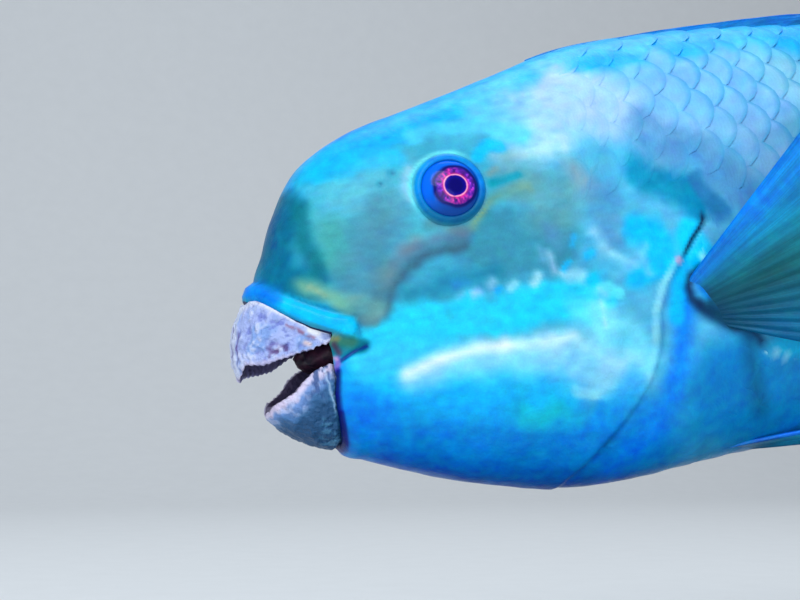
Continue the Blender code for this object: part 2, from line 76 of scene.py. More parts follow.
THROAT = (46.0, 0.0, -8.3)
EYE_AT, EYE_RADIUS = (71.0, 26.8, 36.6), 9.0
EYE_TILT_UP, EYE_TILT_FRONT = math.radians(10), math.radians(6)
NOSTRILS = ((50.5, 41.5, 1.1), (55.0, 44.5, 1.4))
LEFT, RIGHT = 180, 120                  # columns of the hide on each side
FINE, COARSE = 1.0, 2.6                # ring spacing on the head and on the tail stem


def placed(points):
    """Points of the fish's frame, mm, in the stand's frame, m."""
    x, y, z = np.moveaxis(np.asarray(points, float), -1, 0)
    c, s = math.cos(NOSE_DOWN), math.sin(NOSE_DOWN)
    return np.stack([BEAK_TIP[0] + x * c - z * s, y, BEAK_TIP[2] + x * s + z * c], -1) * MM


def mottle(points, size, seed):
    """A smooth random field in -1 to 1 whose lumps are about size mm across."""
    field = np.random.default_rng(seed).uniform(-1, 1, (32, 32, 32))
    q = np.asarray(points, float) / size + 400.5
    low = np.floor(q).astype(int)
    f = q - low
    f = f * f * (3 - 2 * f)
    total = 0
    for corner in np.ndindex(2, 2, 2):
        a, b, c = (f[..., k] if corner[k] else 1 - f[..., k] for k in range(3))
        i, j, k = ((low[..., k] + corner[k]) % 32 for k in range(3))
        total = total + a * b * c * field[i, j, k]
    return total * 1.4


def ease(value, low, high):
    t = np.clip((value - low) / (high - low), 0, 1)
    return t * t * (3 - 2 * t)


def from_line(x, z, line):
    """Distance in side view to a line of (x, z) points."""
    best = np.full(np.shape(x), 1e9)
    line = list(line) if len(line) > 1 else [line[0], line[0]]
    for (ax, az), (bx, bz) in zip(line, line[1:]):
        dx, dz = bx - ax, bz - az
        t = np.clip(((x - ax) * dx + (z - az) * dz) / max(dx * dx + dz * dz, 1e-9), 0, 1)
        best = np.minimum(best, np.hypot(x - ax - t * dx, z - az - t * dz))
    return best


def within(x, z, outline):
    """True where (x, z) lies in a closed side outline."""
    inside = np.zeros(np.shape(x), bool)
    for (ax, az), (bx, bz) in zip(outline, outline[1:] + outline[:1]):
        if az != bz:
            inside ^= ((az > z) != (bz > z)) & (x < (bx - ax) * (z - az) / (bz - az) + ax)
    return inside


def body_row(place):
    i = np.clip(place.astype(int), 0, len(BODY) - 2)
    f = (place - i)[..., None]
    a, b, c, d = (BODY[np.clip(i + k, 0, len(BODY) - 1)] for k in (-1, 0, 1, 2))
    return b + 0.5 * f * (c - a + f * (2 * a - 5 * b + 4 * c - d + f * (3 * (b - c) + d - a)))


def body_point(place, turn):
    """The body's surface at a place along its rows and a turn from the back by the left."""
    back_x, back_z, belly_x, belly_z, half, square = np.moveaxis(body_row(place), -1, 0)
    power = 2 / np.where(np.cos(turn) > 0, square - 0.12, square + 0.15)
    rise = np.sign(np.cos(turn)) * np.abs(np.cos(turn)) ** power
    out = np.sign(np.sin(turn)) * np.abs(np.sin(turn)) ** power
    return np.stack([(back_x + belly_x + (back_x - belly_x) * rise) / 2, -half * out,
                     (back_z + belly_z + (back_z - belly_z) * rise) / 2], -1)


def eye_frame(side):
    """Turns a point of the eye, whose +z looks out, into the fish's frame."""
    x, y, z = EYE_AT
    look = Matrix.Rotation(side * -math.pi / 2 + side * EYE_TILT_UP, 4, "X")
    return (Matrix.Translation((x, side * y, z)) @ Matrix.Rotation(side * EYE_TILT_FRONT, 4, "Z") @ look)


def from_eye(points):
    """Distance from the eye's axis, and the angle round it (0 to the tail, up a quarter turn)."""
    mirrored = np.asarray(points) * (1, -1, 1)
    mirrored = np.where(np.asarray(points)[..., 1:2] < 0, np.asarray(points), mirrored)
    back = np.array(eye_frame(-1).inverted())
    local = mirrored @ back[:3, :3].T + back[:3, 3]
    return np.hypot(local[..., 0], local[..., 1]), np.arctan2(mirrored[..., 2] - EYE_AT[2],
                                                              mirrored[..., 0] - EYE_AT[0])


def table(pairs, at):
    return np.interp(at, [p[0] for p in pairs], [p[1] for p in pairs])


def bell(distance, width):
    return np.exp(-(distance / width) ** 2)


def gill_x(z):
    return table(sorted((gz, gx) for gx, gz in GILL), z)


# folds of the hide in side view: line, half width, and how far each stands up, in mm
FOLDS = (
    # the fleshy base of the pectoral fin, and the fold of skin in front of it
    (((144.5, -6.5), (149, -12), (156, -19)), 7.0, 0.7),
    (((147, -1.2), (143.4, -3.2), (142.2, -7), (143.4, -11), (148, -15.6), (156, -21.5)), 2.4, -1.1),
    # crease and hollow of the skin that joins the jaws at the corner of the mouth
    (((29.4, -10.6), (33.2, -8.8), (38, -7.4)), 0.8, -1.2),
    (((29.5, -6.8), (34, -7.3)), 2.0, -1.1),
    # trough below the eye, and a soft seam of the cheek bones
    (((62, 24), (56, 17), (47, 6), (41, 1)), 4.5, -0.7),
    (((108, 30), (113, 8), (110, -12), (98, -30), (80, -38)), 2.2, -0.3))


def relief(points):
    """How far the hide stands above or below the plain body, in mm."""
    x, z = points[..., 0], points[..., 2]
    rise = -COAT_DEPTH + 0.22 * mottle(points, 17, 1) + 0.08 * mottle(points, 5, 2)
    for line, width, height in FOLDS:
        rise = rise + height * bell(from_line(x, z, line), width)
    # gill cover: a flap over the shoulder, with the slit behind its free edge
    ahead = gill_x(z) - x
    low, agape = ease(20.5 - z, 0, 7), ease(z, 1, 9) * ease(22 - z, 0, 4)
    lap = 1.2 - 0.6 * agape
    rise = rise + (0.7 + 0.8 * agape) * low * np.clip(1 - ahead / 20, 0, 1) ** 2 * ease(ahead, -lap, lap)
    rise = rise - (0.15 + 1.3 * agape) * low * bell(ahead + 0.9, 1.8 - 0.4 * agape)
    # upper lip: a fat band with a sharp upper border; chin lip: a thin one
    lip = within(x, z, [(-5, 19.5), (-5, 11.6)] + list(LIP_LINE) + [(33.8, -4.2)] + list(LIP_TOP))
    border = from_line(x, z, LIP_TOP)
    rise = rise + lip * 1.3 * ease(border, 0, 2.4) - 0.4 * bell(border, 1.3) * (x < 37)
    rise = rise - 0.8 * (1 - ease(from_line(x, z, LIP_LINE), 0, 1.3)) * lip
    chin = from_line(x, z, JAW_EDGE)
    rise = rise + 0.9 * ease(chin, 0, 2.5) * (1 - ease(chin, 4, 9)) * (z < -10)
    # the socket, under the rolled rim of the orbit, and the nostrils
    r, _ = from_eye(points)
    rise = rise + 0.5 * bell(r - 12.5, 2.2) - 4.6 * (1 - ease(r, 8.6, 10.8))
    for nose_x, nose_z, radius in NOSTRILS:
        n = np.hypot(x - nose_x, z - nose_z)
        rise = rise - 0.9 * (1 - ease(n, radius * 0.45, radius)) + 0.2 * bell(n - radius * 1.35, 0.5)
    return rise


def arc_of(line):
    """Running length along a line of points."""
    return np.append(0, np.cumsum(np.linalg.norm(np.diff(line, axis=0), axis=1)))


# columns are spread evenly round each ring, and each starts at the edge of the mouth
across = np.append(np.linspace(0, 0.5, LEFT, endpoint=False), np.linspace(0.5, 1, RIGHT, endpoint=False))
steps = np.linspace(0, len(BODY) - 1, 4001)
along = sum(arc_of(body_point(steps, np.full(len(steps), t))) for t in (0.0, 1.57, 3.14)) / 3
spacing = FINE + (COARSE - FINE) * ease(steps, 8.4, 12.5)
count = np.append(0, np.cumsum(np.diff(along) / spacing[1:]))
rings = int(count[-1]) + 1
place = np.interp(np.linspace(0, count[-1], rings), count, steps)
BODY_LONG = along[-1]
ring_u = np.interp(place, steps, along) / BODY_LONG

half_turn = np.linspace(0, math.pi, 721)
turn, girth = np.empty((rings, len(across))), np.empty(rings)
for k, p in enumerate(place):
    arc = arc_of(body_point(np.full(len(half_turn), p), half_turn))
    girth[k] = 2 * arc[-1]
    folded = np.interp(np.minimum(across, 1 - across) * girth[k], arc, half_turn)
    turn[k] = np.where(across <= 0.5, folded, 2 * math.pi - folded)

mouth = [(-40, 11.6)] + list(LIP_LINE) + list(MOUTH_CORNER) + list(JAW_EDGE) + [(28.2, -80), (-40, -80)]
tries = np.linspace(0, 3, 601)
starts = np.zeros(len(across))
for c, t in enumerate(turn[0]):
    line = body_point(tries, np.full(len(tries), t))
    cut = np.flatnonzero(within(line[:, 0], line[:, 2], mouth))
    starts[c] = tries[cut[-1]] if len(cut) else 0.0
starts = (np.roll(starts, 1) + 2 * starts + np.roll(starts, -1)) / 4
bare = body_point(place[:, None] + starts * np.clip(1 - place / 4, 0, 1)[:, None], turn)


def outward(grid):
    """Outward normals of a grid of rings."""
    down = np.gradient(grid, axis=0)
    round_ = np.roll(grid, -1, axis=1) - np.roll(grid, 1, axis=1)
    normal = np.cross(round_, down)
    return normal / np.maximum(np.linalg.norm(normal, axis=-1, keepdims=True), 1e-9)


hide = bare + outward(bare) * relief(bare)[..., None]

# Markings and painted light. Each is a brush stroke: its line in mm, its half width, how soft
# and how ragged its edge is, its colour on screen, and how strongly it covers. Some strokes
# are painted light and shade rather than the fish's own colour, and say so where they stand.
GROUND = (
    (60, (49, 158, 189)), (140, (84, 185, 227)), (185, (83, 179, 226)), (230, (52, 150, 180)),
    (330, (30, 140, 160)), (410, (18, 138, 132)), (465, (10, 128, 150)))
STROKES = (
    # hidden flank and back, then the belly
    (((150, 84), (250, 78), (330, 60), (440, 32)), 9, 14, 2, (4, 150, 215), 0.85),
    (((190, 20), (260, 14), (330, 10)), 30, 34, 3, (90, 173, 187), 0.55),
    (((150, -45), (230, -48), (330, -34), (440, -8)), 15, 22, 2, (0, 135, 208), 0.9),
    (((140, -68), (230, -66), (340, -40)), 5, 9, 1, (0, 143, 230), 0.7),
    # jaw and throat
    (((29.9, -32.4), (59.3, -44.5), (94.5, -54), (121, -56)), 17, 20, 2, (0, 132, 221), 1),
    # a darker band along the underside of the throat: painted shade
    (((40, -46), (80, -60), (120, -66)), 5, 9, 1, (0, 94, 198), 0.8),
    (((34.4, -17), (63.2, -26), (94.6, -32)), 9, 12, 2, (10, 177, 248), 1),
    (((33, -24), (38, -34)), 5, 9, 1, (0, 131, 242), 0.8),
    # cheek
    (((38, -7), (60.9, -4.6), (86.2, -3.6), (112.3, -4)), 6.6, 5, 3, (22, 208, 246), 1),
    (((39, -12), (60, -16), (84, -22)), 6, 8, 1.5, (49, 204, 250), 1),
    # forehead and crown
    (((27.7, 48), (42.4, 58), (67.6, 65), (94.9, 71), (122.4, 76), (151.5, 79), (212, 76)), 8, 7, 2, (0, 172, 249), 1),
    (((33, 38), (56, 40), (60, 30)), 10, 12, 2, (76, 182, 205), 0.9),
    (((29, 49), (45, 51), (57, 49)), 3.5, 4, 1.5, (4, 185, 235), 0.7),
    (((33, 28), (33, 20)), 5, 7, 1.5, (62, 161, 161), 0.9),
    (((21.1, 40), (15.5, 28), (16, 18), (24, 14)), 5.5, 5, 1.5, (0, 110, 146), 1),
    (((26, 38), (25, 28), (27, 18)), 2.5, 4, 1, (0, 109, 122), 0.7),
    (((20.2, 39.1), (17.5, 33), (16.4, 27.5)), 1.0, 1.4, 1.2, (0, 87, 144), 0.55),
    (((15, 36), (21, 45.9), (33, 57.2), (59.6, 66.6)), 1.3, 2.6, 0.4, (8, 112, 220), 0.5),
    (((50, 33), (42, 21), (38, 10)), 6.5, 10, 2, (69, 141, 165), 0.9),
    # behind the eye
    (((80, 17), (98, 15)), 10, 9, 3, (50, 141, 167), 1),
    (((93, 37), (107, 28), (100, 24)), 7, 9, 2, (88, 158, 171), 0.85),
    (((111.6, 37.4), (115.6, 31.4)), 3.0, 6.5, 2.4, (146, 164, 176), 0.75),
    (((118, 28), (120, 14)), 5, 6, 2, (83, 156, 201), 0.8),
    (((134, 33), (146, 24), (150, 17)), 5.5, 6, 2, (0, 139, 183), 0.95),
    (((130, 16), (136, 4), (128, 0)), 5, 4.5, 2, (0, 189, 246), 0.95),
    # nape, shoulder and flank
    (((100, 62), (110, 58), (124, 60)), 9, 16, 3, (137, 198, 246), 0.9),
    (((101, 50), (108, 49)), 6, 11, 3, (184, 231, 246), 0.85),
    (((112, 66), (124, 68)), 2.5, 5, 2, (181, 206, 247), 0.7),
    (((88, 62), (96, 55)), 6, 8, 2, (101, 197, 247), 0.7),
    (((118, 62), (133, 55), (150, 48)), 12, 14, 4, (170, 208, 246), 0.85),
    (((150, 62), (190, 56)), 14, 16, 5, (126, 193, 245), 0.85),
    (((140, 44), (156, 36), (170, 20)), 8, 10, 4, (81, 148, 201), 0.85),
    (((176, 40), (190, 24)), 9, 12, 4, (137, 179, 229), 0.6),
    (((152, 27), (158, 16)), 3, 3, 1.5, (31, 114, 170), 0.8),
    (((190, 66), (205, 50)), 8, 10, 4, (134, 205, 222), 0.5),
    # the dark brush mark below the eye
    (((62, 27), (69, 25.4), (75, 23.6)), 1.6, 4, 1.4, (78, 128, 136), 0.7),
    (((71, 21.6), (61, 20.6), (55, 19.6)), 2.2, 6.4, 2, (86, 108, 136), 0.7),
    (((57, 22.6), (52, 18.6), (46, 10.5)), 2.0, 5, 1.4, (124, 132, 148), 0.65),
    (((68.8, 23.4), (73, 22)), 1.2, 3.6, 1.6, (100, 98, 122), 0.4),
    (((72, 18.6), (66, 17.6), (58, 16.8), (54, 15.2), (51, 11.6), (47.2, 7.6), (44.6, 2)),
     1.2, 4.6, 1.4, (44, 78, 100), 0.85),
    (((52, 5), (65, 7), (80, 9)), 2.2, 7, 2, (0, 116, 152), 0.65),
    (((47, 14), (40.5, 4)), 3.4, 6, 1.5, (86, 132, 145), 0.7),
    (((76.6, 24.6), (80.4, 28.7), (84.1, 31.2), (89.4, 32.0), (96, 33)), 1.5, 4.6, 1.8, (112, 158, 132), 0.75),
    (((77, 24.8), (80.8, 28.6)), 0.5, 2.0, 0.8, (150, 168, 84), 0.35),
    (((83.6, 35.8), (88, 36.2), (94, 37.8)), 1.3, 2.4, 1.2, (0, 152, 176), 0.9),
    (((88, 43.6), (96, 45.5)), 3, 6, 2.5, (146, 194, 206), 0.7),
    (((83.4, 39), (86.4, 40.6)), 1.2, 2.6, 1.4, (142, 164, 158), 0.75),
    (((81, 45.6), (85.6, 47.6), (90.6, 48.4)), 2.2, 2.4, 1.4, (0, 194, 248), 0.9),
    (((60.6, 45.4), (59, 39), (58.6, 35)), 1.2, 3.2, 1.6, (160, 198, 228), 0.7),
    (((64, 56), (83, 55.5), (98, 52)), 2.6, 3.5, 2, (80, 207, 246), 0.7),
    # pale blotches over the cheek line
    (((99, 12), (99.6, 6)), 1.2, 3.4, 2, (150, 202, 236), 0.85),
    (((96, 13.4), (96.8, 9)), 0.9, 3, 2, (112, 184, 222), 0.6),
    (((90.6, 3), (92.4, 5)), 1.3, 2.6, 2, (160, 222, 240), 0.85),
    (((84, 3), (85.4, 3.6)), 1.5, 2.2, 1.2, (134, 224, 244), 0.9),
    (((76.8, 5.4), (78, 6.4)), 1.3, 3.2, 2, (146, 196, 236), 0.75),
    (((71, 2.2), (73, 3.2)), 1.0, 2.8, 2, (148, 192, 240), 0.8),
    (((66.4, 2.4), (67.6, 3)), 0.8, 2.6, 2, (110, 184, 222), 0.6),
    (((79, 3), (80, 3.6)), 1.0, 1.8, 1.4, (0, 176, 246), 0.8),
    (((66, 6), (70, 6.4)), 1.4, 3.4, 2, (24, 132, 206), 0.6),
    (((104, 6), (109, 2), (114.1, -1)), 1.6, 4.2, 3.4, (160, 226, 250), 0.8),
    (((112, 16), (117, 10), (125, 5)), 1.8, 5, 3.6, (152, 215, 237), 0.75),
    (((128, 7), (131, 0)), 1.4, 3.2, 2.4, (109, 210, 246), 0.75),
    (((103, 6.4), (104.4, 8.4)), 1.1, 1.5, 1.2, (8, 190, 246), 0.9),
    (((106.2, 13.4), (107, 16)), 1.0, 1.8, 1.4, (30, 176, 240), 0.85),
    (((110.6, 8.6), (112, 9.4)), 1.4, 1.8, 1.2, (20, 190, 242), 0.9),
    (((110.6, 0.6), (112, 1.4)), 1.8, 1.8, 1.2, (0, 204, 250), 0.9),
    (((100, 20), (103, 16)), 2.2, 5, 2.4, (90, 150, 196), 0.6),
    (((116, -1), (120, -4)), 1.8, 1.8, 1.6, (93, 235, 248), 0.9),
    # white of the cheek, and the long bright streak: partly a pale marking and partly a
    # painted highlight, its white core all painted highlight
    (((110, -10), (116, -22), (122, -28)), 7, 9, 3, (117, 224, 251), 0.9),
    (((95, -19), (108, -23), (116, -30)), 5.5, 10, 2.5, (150, 220, 250), 0.85),
    (((112.4, -5), (112.8, -14)), 0.8, 2.4, 1.6, (161, 229, 249), 0.7),
    (((50, -19.6), (60, -17.8), (75, -16.8), (92, -17)), 4.0, 8.5, 1.2, (150, 220, 250), 0.85),
    (((48.6, -17.8), (58, -15.6), (70, -14.3), (80, -14.2)), 1.2, 6.4, 0.6, (250, 254, 255), 1),
    (((80, -14.4), (92, -15), (101, -16)), 1.0, 6.4, 1.4, (224, 248, 252), 0.85),
    (((86, -22), (100, -27), (109, -31)), 4.5, 9, 2.5, (130, 212, 249), 0.65),
    (((100, -32), (112, -35)), 1.6, 1.6, 1.6, (138, 226, 245), 0.6),
    (((83, -35), (94, -38)), 4, 10, 3, (15, 194, 206), 0.75),
    (((118, -34), (108, -43)), 4.5, 5, 3, (0, 160, 255), 0.5),
    # the gill cover's pale rim, and the blue behind it
    (((140.6, -9), (138.4, -24), (133, -40), (124, -52), (112, -60)), 3.4, 8, 1.2, (0, 131, 251), 0.9),
    (((145, 8), (140, -4), (137, -14)), 2.6, 3, 0.8, (0, 185, 244), 1),
    (((145.2, 10), (151, 0)), 5, 4, 1.4, (0, 203, 248), 1),
    (((149.3, 4.1), (150, 2)), 1.2, 2.2, 1, (156, 255, 255), 0.85),
    (((154, -36), (170, -56)), 12, 13, 2, (0, 127, 200), 0.9),
    # the crease in front of the pectoral fin's base, painted dark: painted shade
    (((148.3, -0.7), (144.2, -2.7), (142.6, -6.1), (143.2, -10.1), (146.3, -13.3), (152, -16.4)),
     1.1, 3.4, 0.4, (2, 30, 66), 0.95),
    # the pectoral fin's shadow under its root and down the flank below it: painted shadow
    (((145, -13), (152, -17.6), (160, -22.5), (166, -27)), 1.6, 5, 0.8, (0, 48, 88), 0.9),
    (((160, -25), (164.1, -39), (166.6, -50)), 2.2, 7, 1, (0, 91, 132), 0.8),
    (((146.6, -4.6), (148.6, -9.6)), 2.0, 2.2, 0.3, (0, 126, 218), 0.95),
    # dark under the lower end of the fin's root: painted shade
    (((149.6, -12.6), (157, -19.6)), 2.2, 3.2, 0.4, (0, 66, 98), 0.9),
    (((174, -28), (192, -32)), 4, 7, 1.5, (0, 205, 255), 0.8),
    # a thin white line on the belly below the fin: a painted highlight
    (((167.5, -31.2), (171, -31.6), (176, -34)), 0.5, 1.3, 0.6, (176, 240, 250), 0.85),
    # mouth: lips, the fold at its corner, and the dark line round the lower beak
    (((3, 18), (8, 16.4), (14.6, 11), (21, 6.9), (28, 2.9), (33, -0.2)), 3.1, 1.2, 0.1, (0, 193, 244), 1),
    (((3, 17.6), (8, 16.8), (12.6, 12.8)), 3.2, 3.2, 0.1, (0, 131, 240), 0.9),
    (((12, 10.2), (18, 5.6), (27, 0.6)), 0.6, 1.8, 0.1, (0, 186, 255), 0.6),
    # a dark line along the upper border of the lip: painted shadow
    (((9.1, 19.9), (13.8, 15.1), (21.6, 9.2), (30, 4.7), (35.4, 2.6)), 0.5, 1.8, 0.1, (0, 80, 122), 0.6),
    (((22, 14.6), (26.4, 11), (33.4, 7)), 2.6, 5.4, 1.6, (118, 184, 156), 0.85),
    (((23.5, 13.2), (27.6, 9.8)), 0.7, 2.2, 0.8, (156, 179, 142), 0.6),
    (((36.8, 6.4), (42, 3.4)), 3, 4.4, 1, (95, 160, 161), 0.75),
    (((37, 1), (41, 0)), 1.6, 2, 0.8, (86, 135, 144), 0.8),
    (((28, -7), (36, -7.2)), 2.4, 2.2, 0.4, (0, 122, 142), 0.95),
    (((27, -4.4), (31, -5.2), (33.4, -6)), 1.6, 2.4, 0.5, (56, 132, 112), 0.95),
    (((27, -3.4), (29, -4)), 0.9, 1.8, 0.5, (138, 130, 82), 0.8),
    (((28, -5.6), (29.2, -8)), 0.8, 1.8, 0.6, (78, 44, 76), 0.85),
    (((28.4, -10), (27.2, -12.6)), 1.1, 1.6, 0.5, (122, 94, 196), 0.9),
    (((27.4, -9.2), (28.2, -9.6)), 0.5, 1.2, 0.5, (206, 160, 204), 0.8),
    # a dark edge at the rear end of the lip: painted shade
    (((36.2, 0), (35.6, -4)), 0.4, 1.8, 0.3, (0, 108, 150), 0.7),
    # a dark line in the crease at the corner of the mouth: painted shade
    (((29.6, -10.6), (33.2, -8.9), (37.6, -7.6)), 0.55, 0.7, 0.1, (0, 52, 132), 0.95),
    (((27.8, -13.6), (26.8, -21), (27.1, -28), (28.6, -39)), 0.9, 1.6, 0.2, (0, 22, 126), 0.95),
    (((27.3, -27), (28.6, -37)), 1.0, 1.2, 0.2, (0, 8, 110), 0.9),
    # nostrils
    (((50.5, 41.5), (50.6, 41.6)), 0.4, 1.2, 0, (36, 116, 150), 0.6),
    (((55.0, 44.5), (55.1, 44.6)), 0.5, 1.2, 0, (36, 116, 150), 0.6),
)
MAROON, NAVY = (48, 16, 44), (2, 20, 84)


def tint(rgb):
    """A colour on screen, 0 to 255, as the paint's own value."""
    c = np.asarray(rgb, float) / 255
    return np.where(c <= 0.04045, c / 12.92, ((c + 0.055) / 1.055) ** 2.4)


def dab(paint, mask, rgb, cover=1.0):
    """Paint with a colour laid over it where the mask says."""
    mask = np.clip(mask * cover, 0, 1)[..., None]
    return paint * (1 - mask) + np.asarray(rgb, float) * mask


def layered(paint, *dabs):
    """Paint with one dab after another: mask, colour, cover."""
    for mask, rgb, cover in dabs:
        paint = dab(paint, mask, rgb, cover)
    return paint


def graded(at, stops):
    """The colour at a place between stops of (place, colour)."""
    return np.stack([table([(s[0], s[1][k]) for s in stops], at) for k in range(3)], -1)


def markings(points):
    """The paint on the hide and on the scales, at points in mm."""
    points = np.asarray(points, float)
    x, z = points[..., 0], points[..., 2]
    warp_x, warp_z = (0.75 * mottle(points, 7.5, seed) + 0.22 * mottle(points, 2.6, seed + 1) for seed in (11, 13))
    grain = 0.5 * mottle(points, 1.9, 15) + 0.5 * mottle(points, 4.1, 16)
    paint = graded(x, GROUND)
    for line, half, soft, rag, colour, cover in STROKES:
        reach = half + soft + 3
        near = (x > min(p[0] for p in line) - reach) & (x < max(p[0] for p in line) + reach)
        if near.any():
            d = from_line(x[near] + rag * warp_x[near], z[near] + rag * warp_z[near], line)
            mask = (1 - ease(d, half - soft / 2, half + soft / 2)) * (1 + 0.08 * rag * grain[near])
            paint[near] = dab(paint[near], mask, colour, cover)
    # the gill cover's pale rim, the slit behind it painted dark as painted shade, darkest where it
    # gapes, and the pink nub at its upper end
    ahead = gill_x(z) - x
    low = ease(27 - z, 0, 5) * ease(z, -62, -50)
    rim = low * ease(z, -40, -20) * ease(8 - z, 0, 6) * (1 - ease(np.abs(ahead - 2.0), 0.6, 2.2))
    agape = ease(z, 2, 7) * ease(19 - z, 0, 4)
    slit = low * bell(ahead + 0.4, 1.3 - 0.2 * agape) * ease(20 - z, 0, 5)
    slit = slit * (0.2 + 0.72 * agape + 0.4 * (1 - ease(z, -54, -42)))
    nub = 1 - ease(np.hypot(x - 140.5, z - 3), 0.8, 1.9)
    # orbit: azure roll, darker on its lower half as painted shade; a thin dark line where it meets
    # the glass, painted shade; a soft dark outline round it, deepened below by painted shade; pale
    # brow in front and above
    r, a = from_eye(points)
    shade = ease(-np.sin(a), -0.2, 1)
    paint = layered(
        paint, (rim, (150, 236, 250), 0.6),
        (slit, dab(np.array((6, 78, 160)), agape, (22, 30, 66)), 1),
        (nub, (206, 168, 204), 0.8),
        (1 - ease(r, 11.1, 11.7), dab(np.array((0, 136, 222)), shade, (0, 96, 142)), 1),
        (bell(r - 9.1, 0.3), (6, 50, 130), 0.45),
        (bell(r - 11.6, 0.4) * (0.4 + 0.6 * shade), (8, 104, 150), 0.45),
        (bell(r - 12.4, 0.8) * ease(np.cos(a - 2.2), 0.0, 0.6), (104, 230, 236), 0.85))
    # the grain of the brush, and a rosy drift where the paint is pale
    streak = points * (0.55, 1, 1.4)
    paint = paint * (1 + 0.035 * mottle(streak, 1.9, 17) + 0.03 * mottle(points, 6, 18))[..., None]
    rosy = (mottle(streak, 4.3, 19) + 0.6 * mottle(streak, 1.7, 20))[..., None] * ease(paint[..., :1], 30, 110)
    return tint(np.clip(paint + np.array((9, 3, -1)) * rosy, 0, 255))


def cast(name, points, faces, material, paint=None, uv=None, uv_name="face", flat=False):
    """A mesh object from points in mm, with its place in its mesh."""
    mesh = bpy.data.meshes.new(name)
    mesh.from_pydata([tuple(p) for p in (points if flat else placed(points))], [], faces)
    mesh.shade_smooth()
    if material:
        mesh.materials.append(material)
    if paint is not None:
        layer = mesh.color_attributes.new("markings", "FLOAT_COLOR", "POINT")
        rgba = np.ones((len(mesh.vertices), 4), np.float32)
        rgba[:, :3] = paint
        layer.data.foreach_set("color", rgba.ravel())
    if uv is not None:
        corners = np.empty(len(mesh.loops), np.int32)
        mesh.loops.foreach_get("vertex_index", corners)
        layer = mesh.uv_layers.new(name=uv_name)
        layer.data.foreach_set("uv", np.asarray(uv, np.float32)[corners].ravel())
    obj = bpy.data.objects.new(name, mesh)
    bpy.context.scene.collection.objects.link(obj)
    return obj


def tube(rows, n, ends=True):
    """Faces over rows of n points round a ring. With ends, each end is a fan to one of two
    points that follow the rings; without, the last ring joins the first."""
    c = np.arange(n)
    d = (c + 1) % n
    faces = []
    for r in range(rows - ends):
        a, b = r * n, (r + 1) % rows * n
        faces += np.stack([a + c, a + d, b + d, b + c], -1).tolist()
    if ends:
        last, poles = (rows - 1) * n, np.full(n, rows * n)
        faces += np.stack([d, c, poles], -1).tolist() + np.stack([last + c, last + d, poles + 1], -1).tolist()
    return faces


def feed(made, inputs):
    """Gives inputs of a node, by name or place, a link to a socket or a value of their own."""
    for key, value in inputs.items():
        socket = made.inputs[int(key) if key.isdigit() else key.replace("_", " ")]
        if isinstance(value, bpy.types.NodeSocket):
            made.id_data.links.new(value, socket)
        else:
            socket.default_value = value


def node(tree, kind, **values):
    """A node with its settings and inputs; a name starting with in_ is an input."""
    made = tree.nodes.new(kind)
    for key, value in values.items():
        if not key.startswith("in_"):
            setattr(made, key, value)
    feed(made, {key[3:]: value for key, value in values.items() if key.startswith("in_")})
    return made


def group_of(name, kind, inputs, outputs):
    """An empty node group with named sockets, and its input and output nodes."""
    group = bpy.data.node_groups.new(name, kind)
    for way, sockets in (("INPUT", inputs), ("OUTPUT", outputs)):
        for socket, sort in sockets.items():
            group.interface.new_socket(socket, in_out=way, socket_type="NodeSocket" + sort)
    return group, group.nodes.new("NodeGroupInput"), group.nodes.new("NodeGroupOutput")


def finish_of(name, roughness=0.4, **sockets):
    """A material with its shader's plain sockets set."""
    material = bpy.data.materials.new(name)
    material.use_nodes = True
    shader = material.node_tree.nodes["Principled BSDF"]
    feed(shader, {"Roughness": roughness, **sockets})
    return material, material.node_tree, shader


def own(tree, name="markings", output="Color"):
    """What a piece's own mesh holds under a name."""
    return node(tree, "ShaderNodeAttribute", attribute_name=name).outputs[output]


def maths(tree, operation, *values, kind="ShaderNodeMath"):
    return node(tree, kind, operation=operation, **{f"in_{k}": v for k, v in enumerate(values)}).outputs[0]


def noise(tree, scale, detail, vector=None, **more):
    """Noise over the piece's own coordinates, or over a given vector."""
    if vector is None:
        vector = node(tree, "ShaderNodeTexCoord").outputs["Object"]
    return node(tree, "ShaderNodeTexNoise", in_Vector=vector, in_Scale=scale, in_Detail=detail, **more).outputs["Fac"]


def ranged(tree, value, to_min=0.0, to_max=1.0, from_min=0.0, from_max=1.0, **more):
    return node(tree, "ShaderNodeMapRange", in_Value=value, in_To_Min=to_min, in_To_Max=to_max,
                in_From_Min=from_min, in_From_Max=from_max, **more).outputs[0]


def bump(tree, strength, distance, height, **more):
    return node(tree, "ShaderNodeBump", in_Strength=strength, in_Distance=distance, in_Height=height,
                **more).outputs[0]


def ramp(tree, value, low, high, at=(0.0, 1.0)):
    made = node(tree, "ShaderNodeValToRGB", in_Fac=value)
    for stop, position, rgb in zip(made.color_ramp.elements, at, (low, high)):
        stop.position, stop.color = position, (*rgb, 1)
    return made.outputs[0]


# the grainy, wet surface that hide, scales and fins share
stipple, given, result = group_of(
    "wet_stipple", "ShaderNodeTree", {"Paint": "Color", "Grain": "Float", "Relief": "Float", "Gloss": "Float"},
    {"Colour": "Color", "Roughness": "Float", "Normal": "Vector"})
grain, strength = given.outputs["Grain"], given.outputs["Relief"]
fine, wide = noise(stipple, 1500.0, 3.0), noise(stipple, 260.0, 4.0)
light = maths(stipple, "MULTIPLY_ADD", fine, grain, maths(stipple, "MULTIPLY_ADD", grain, -0.5, 1.0))
grainy = node(stipple, "ShaderNodeHueSaturation", in_Color=given.outputs["Paint"], in_Value=light,
              in_Hue=ranged(stipple, wide, 0.47, 0.53))
pores = bump(stipple, strength, 0.0004, fine)
feed(result, {"Colour": grainy.outputs[0], "Normal": bump(stipple, strength, 0.0012, wide, in_Normal=pores),
              "Roughness": maths(stipple, "MULTIPLY_ADD", wide, 0.25, given.outputs["Gloss"])})


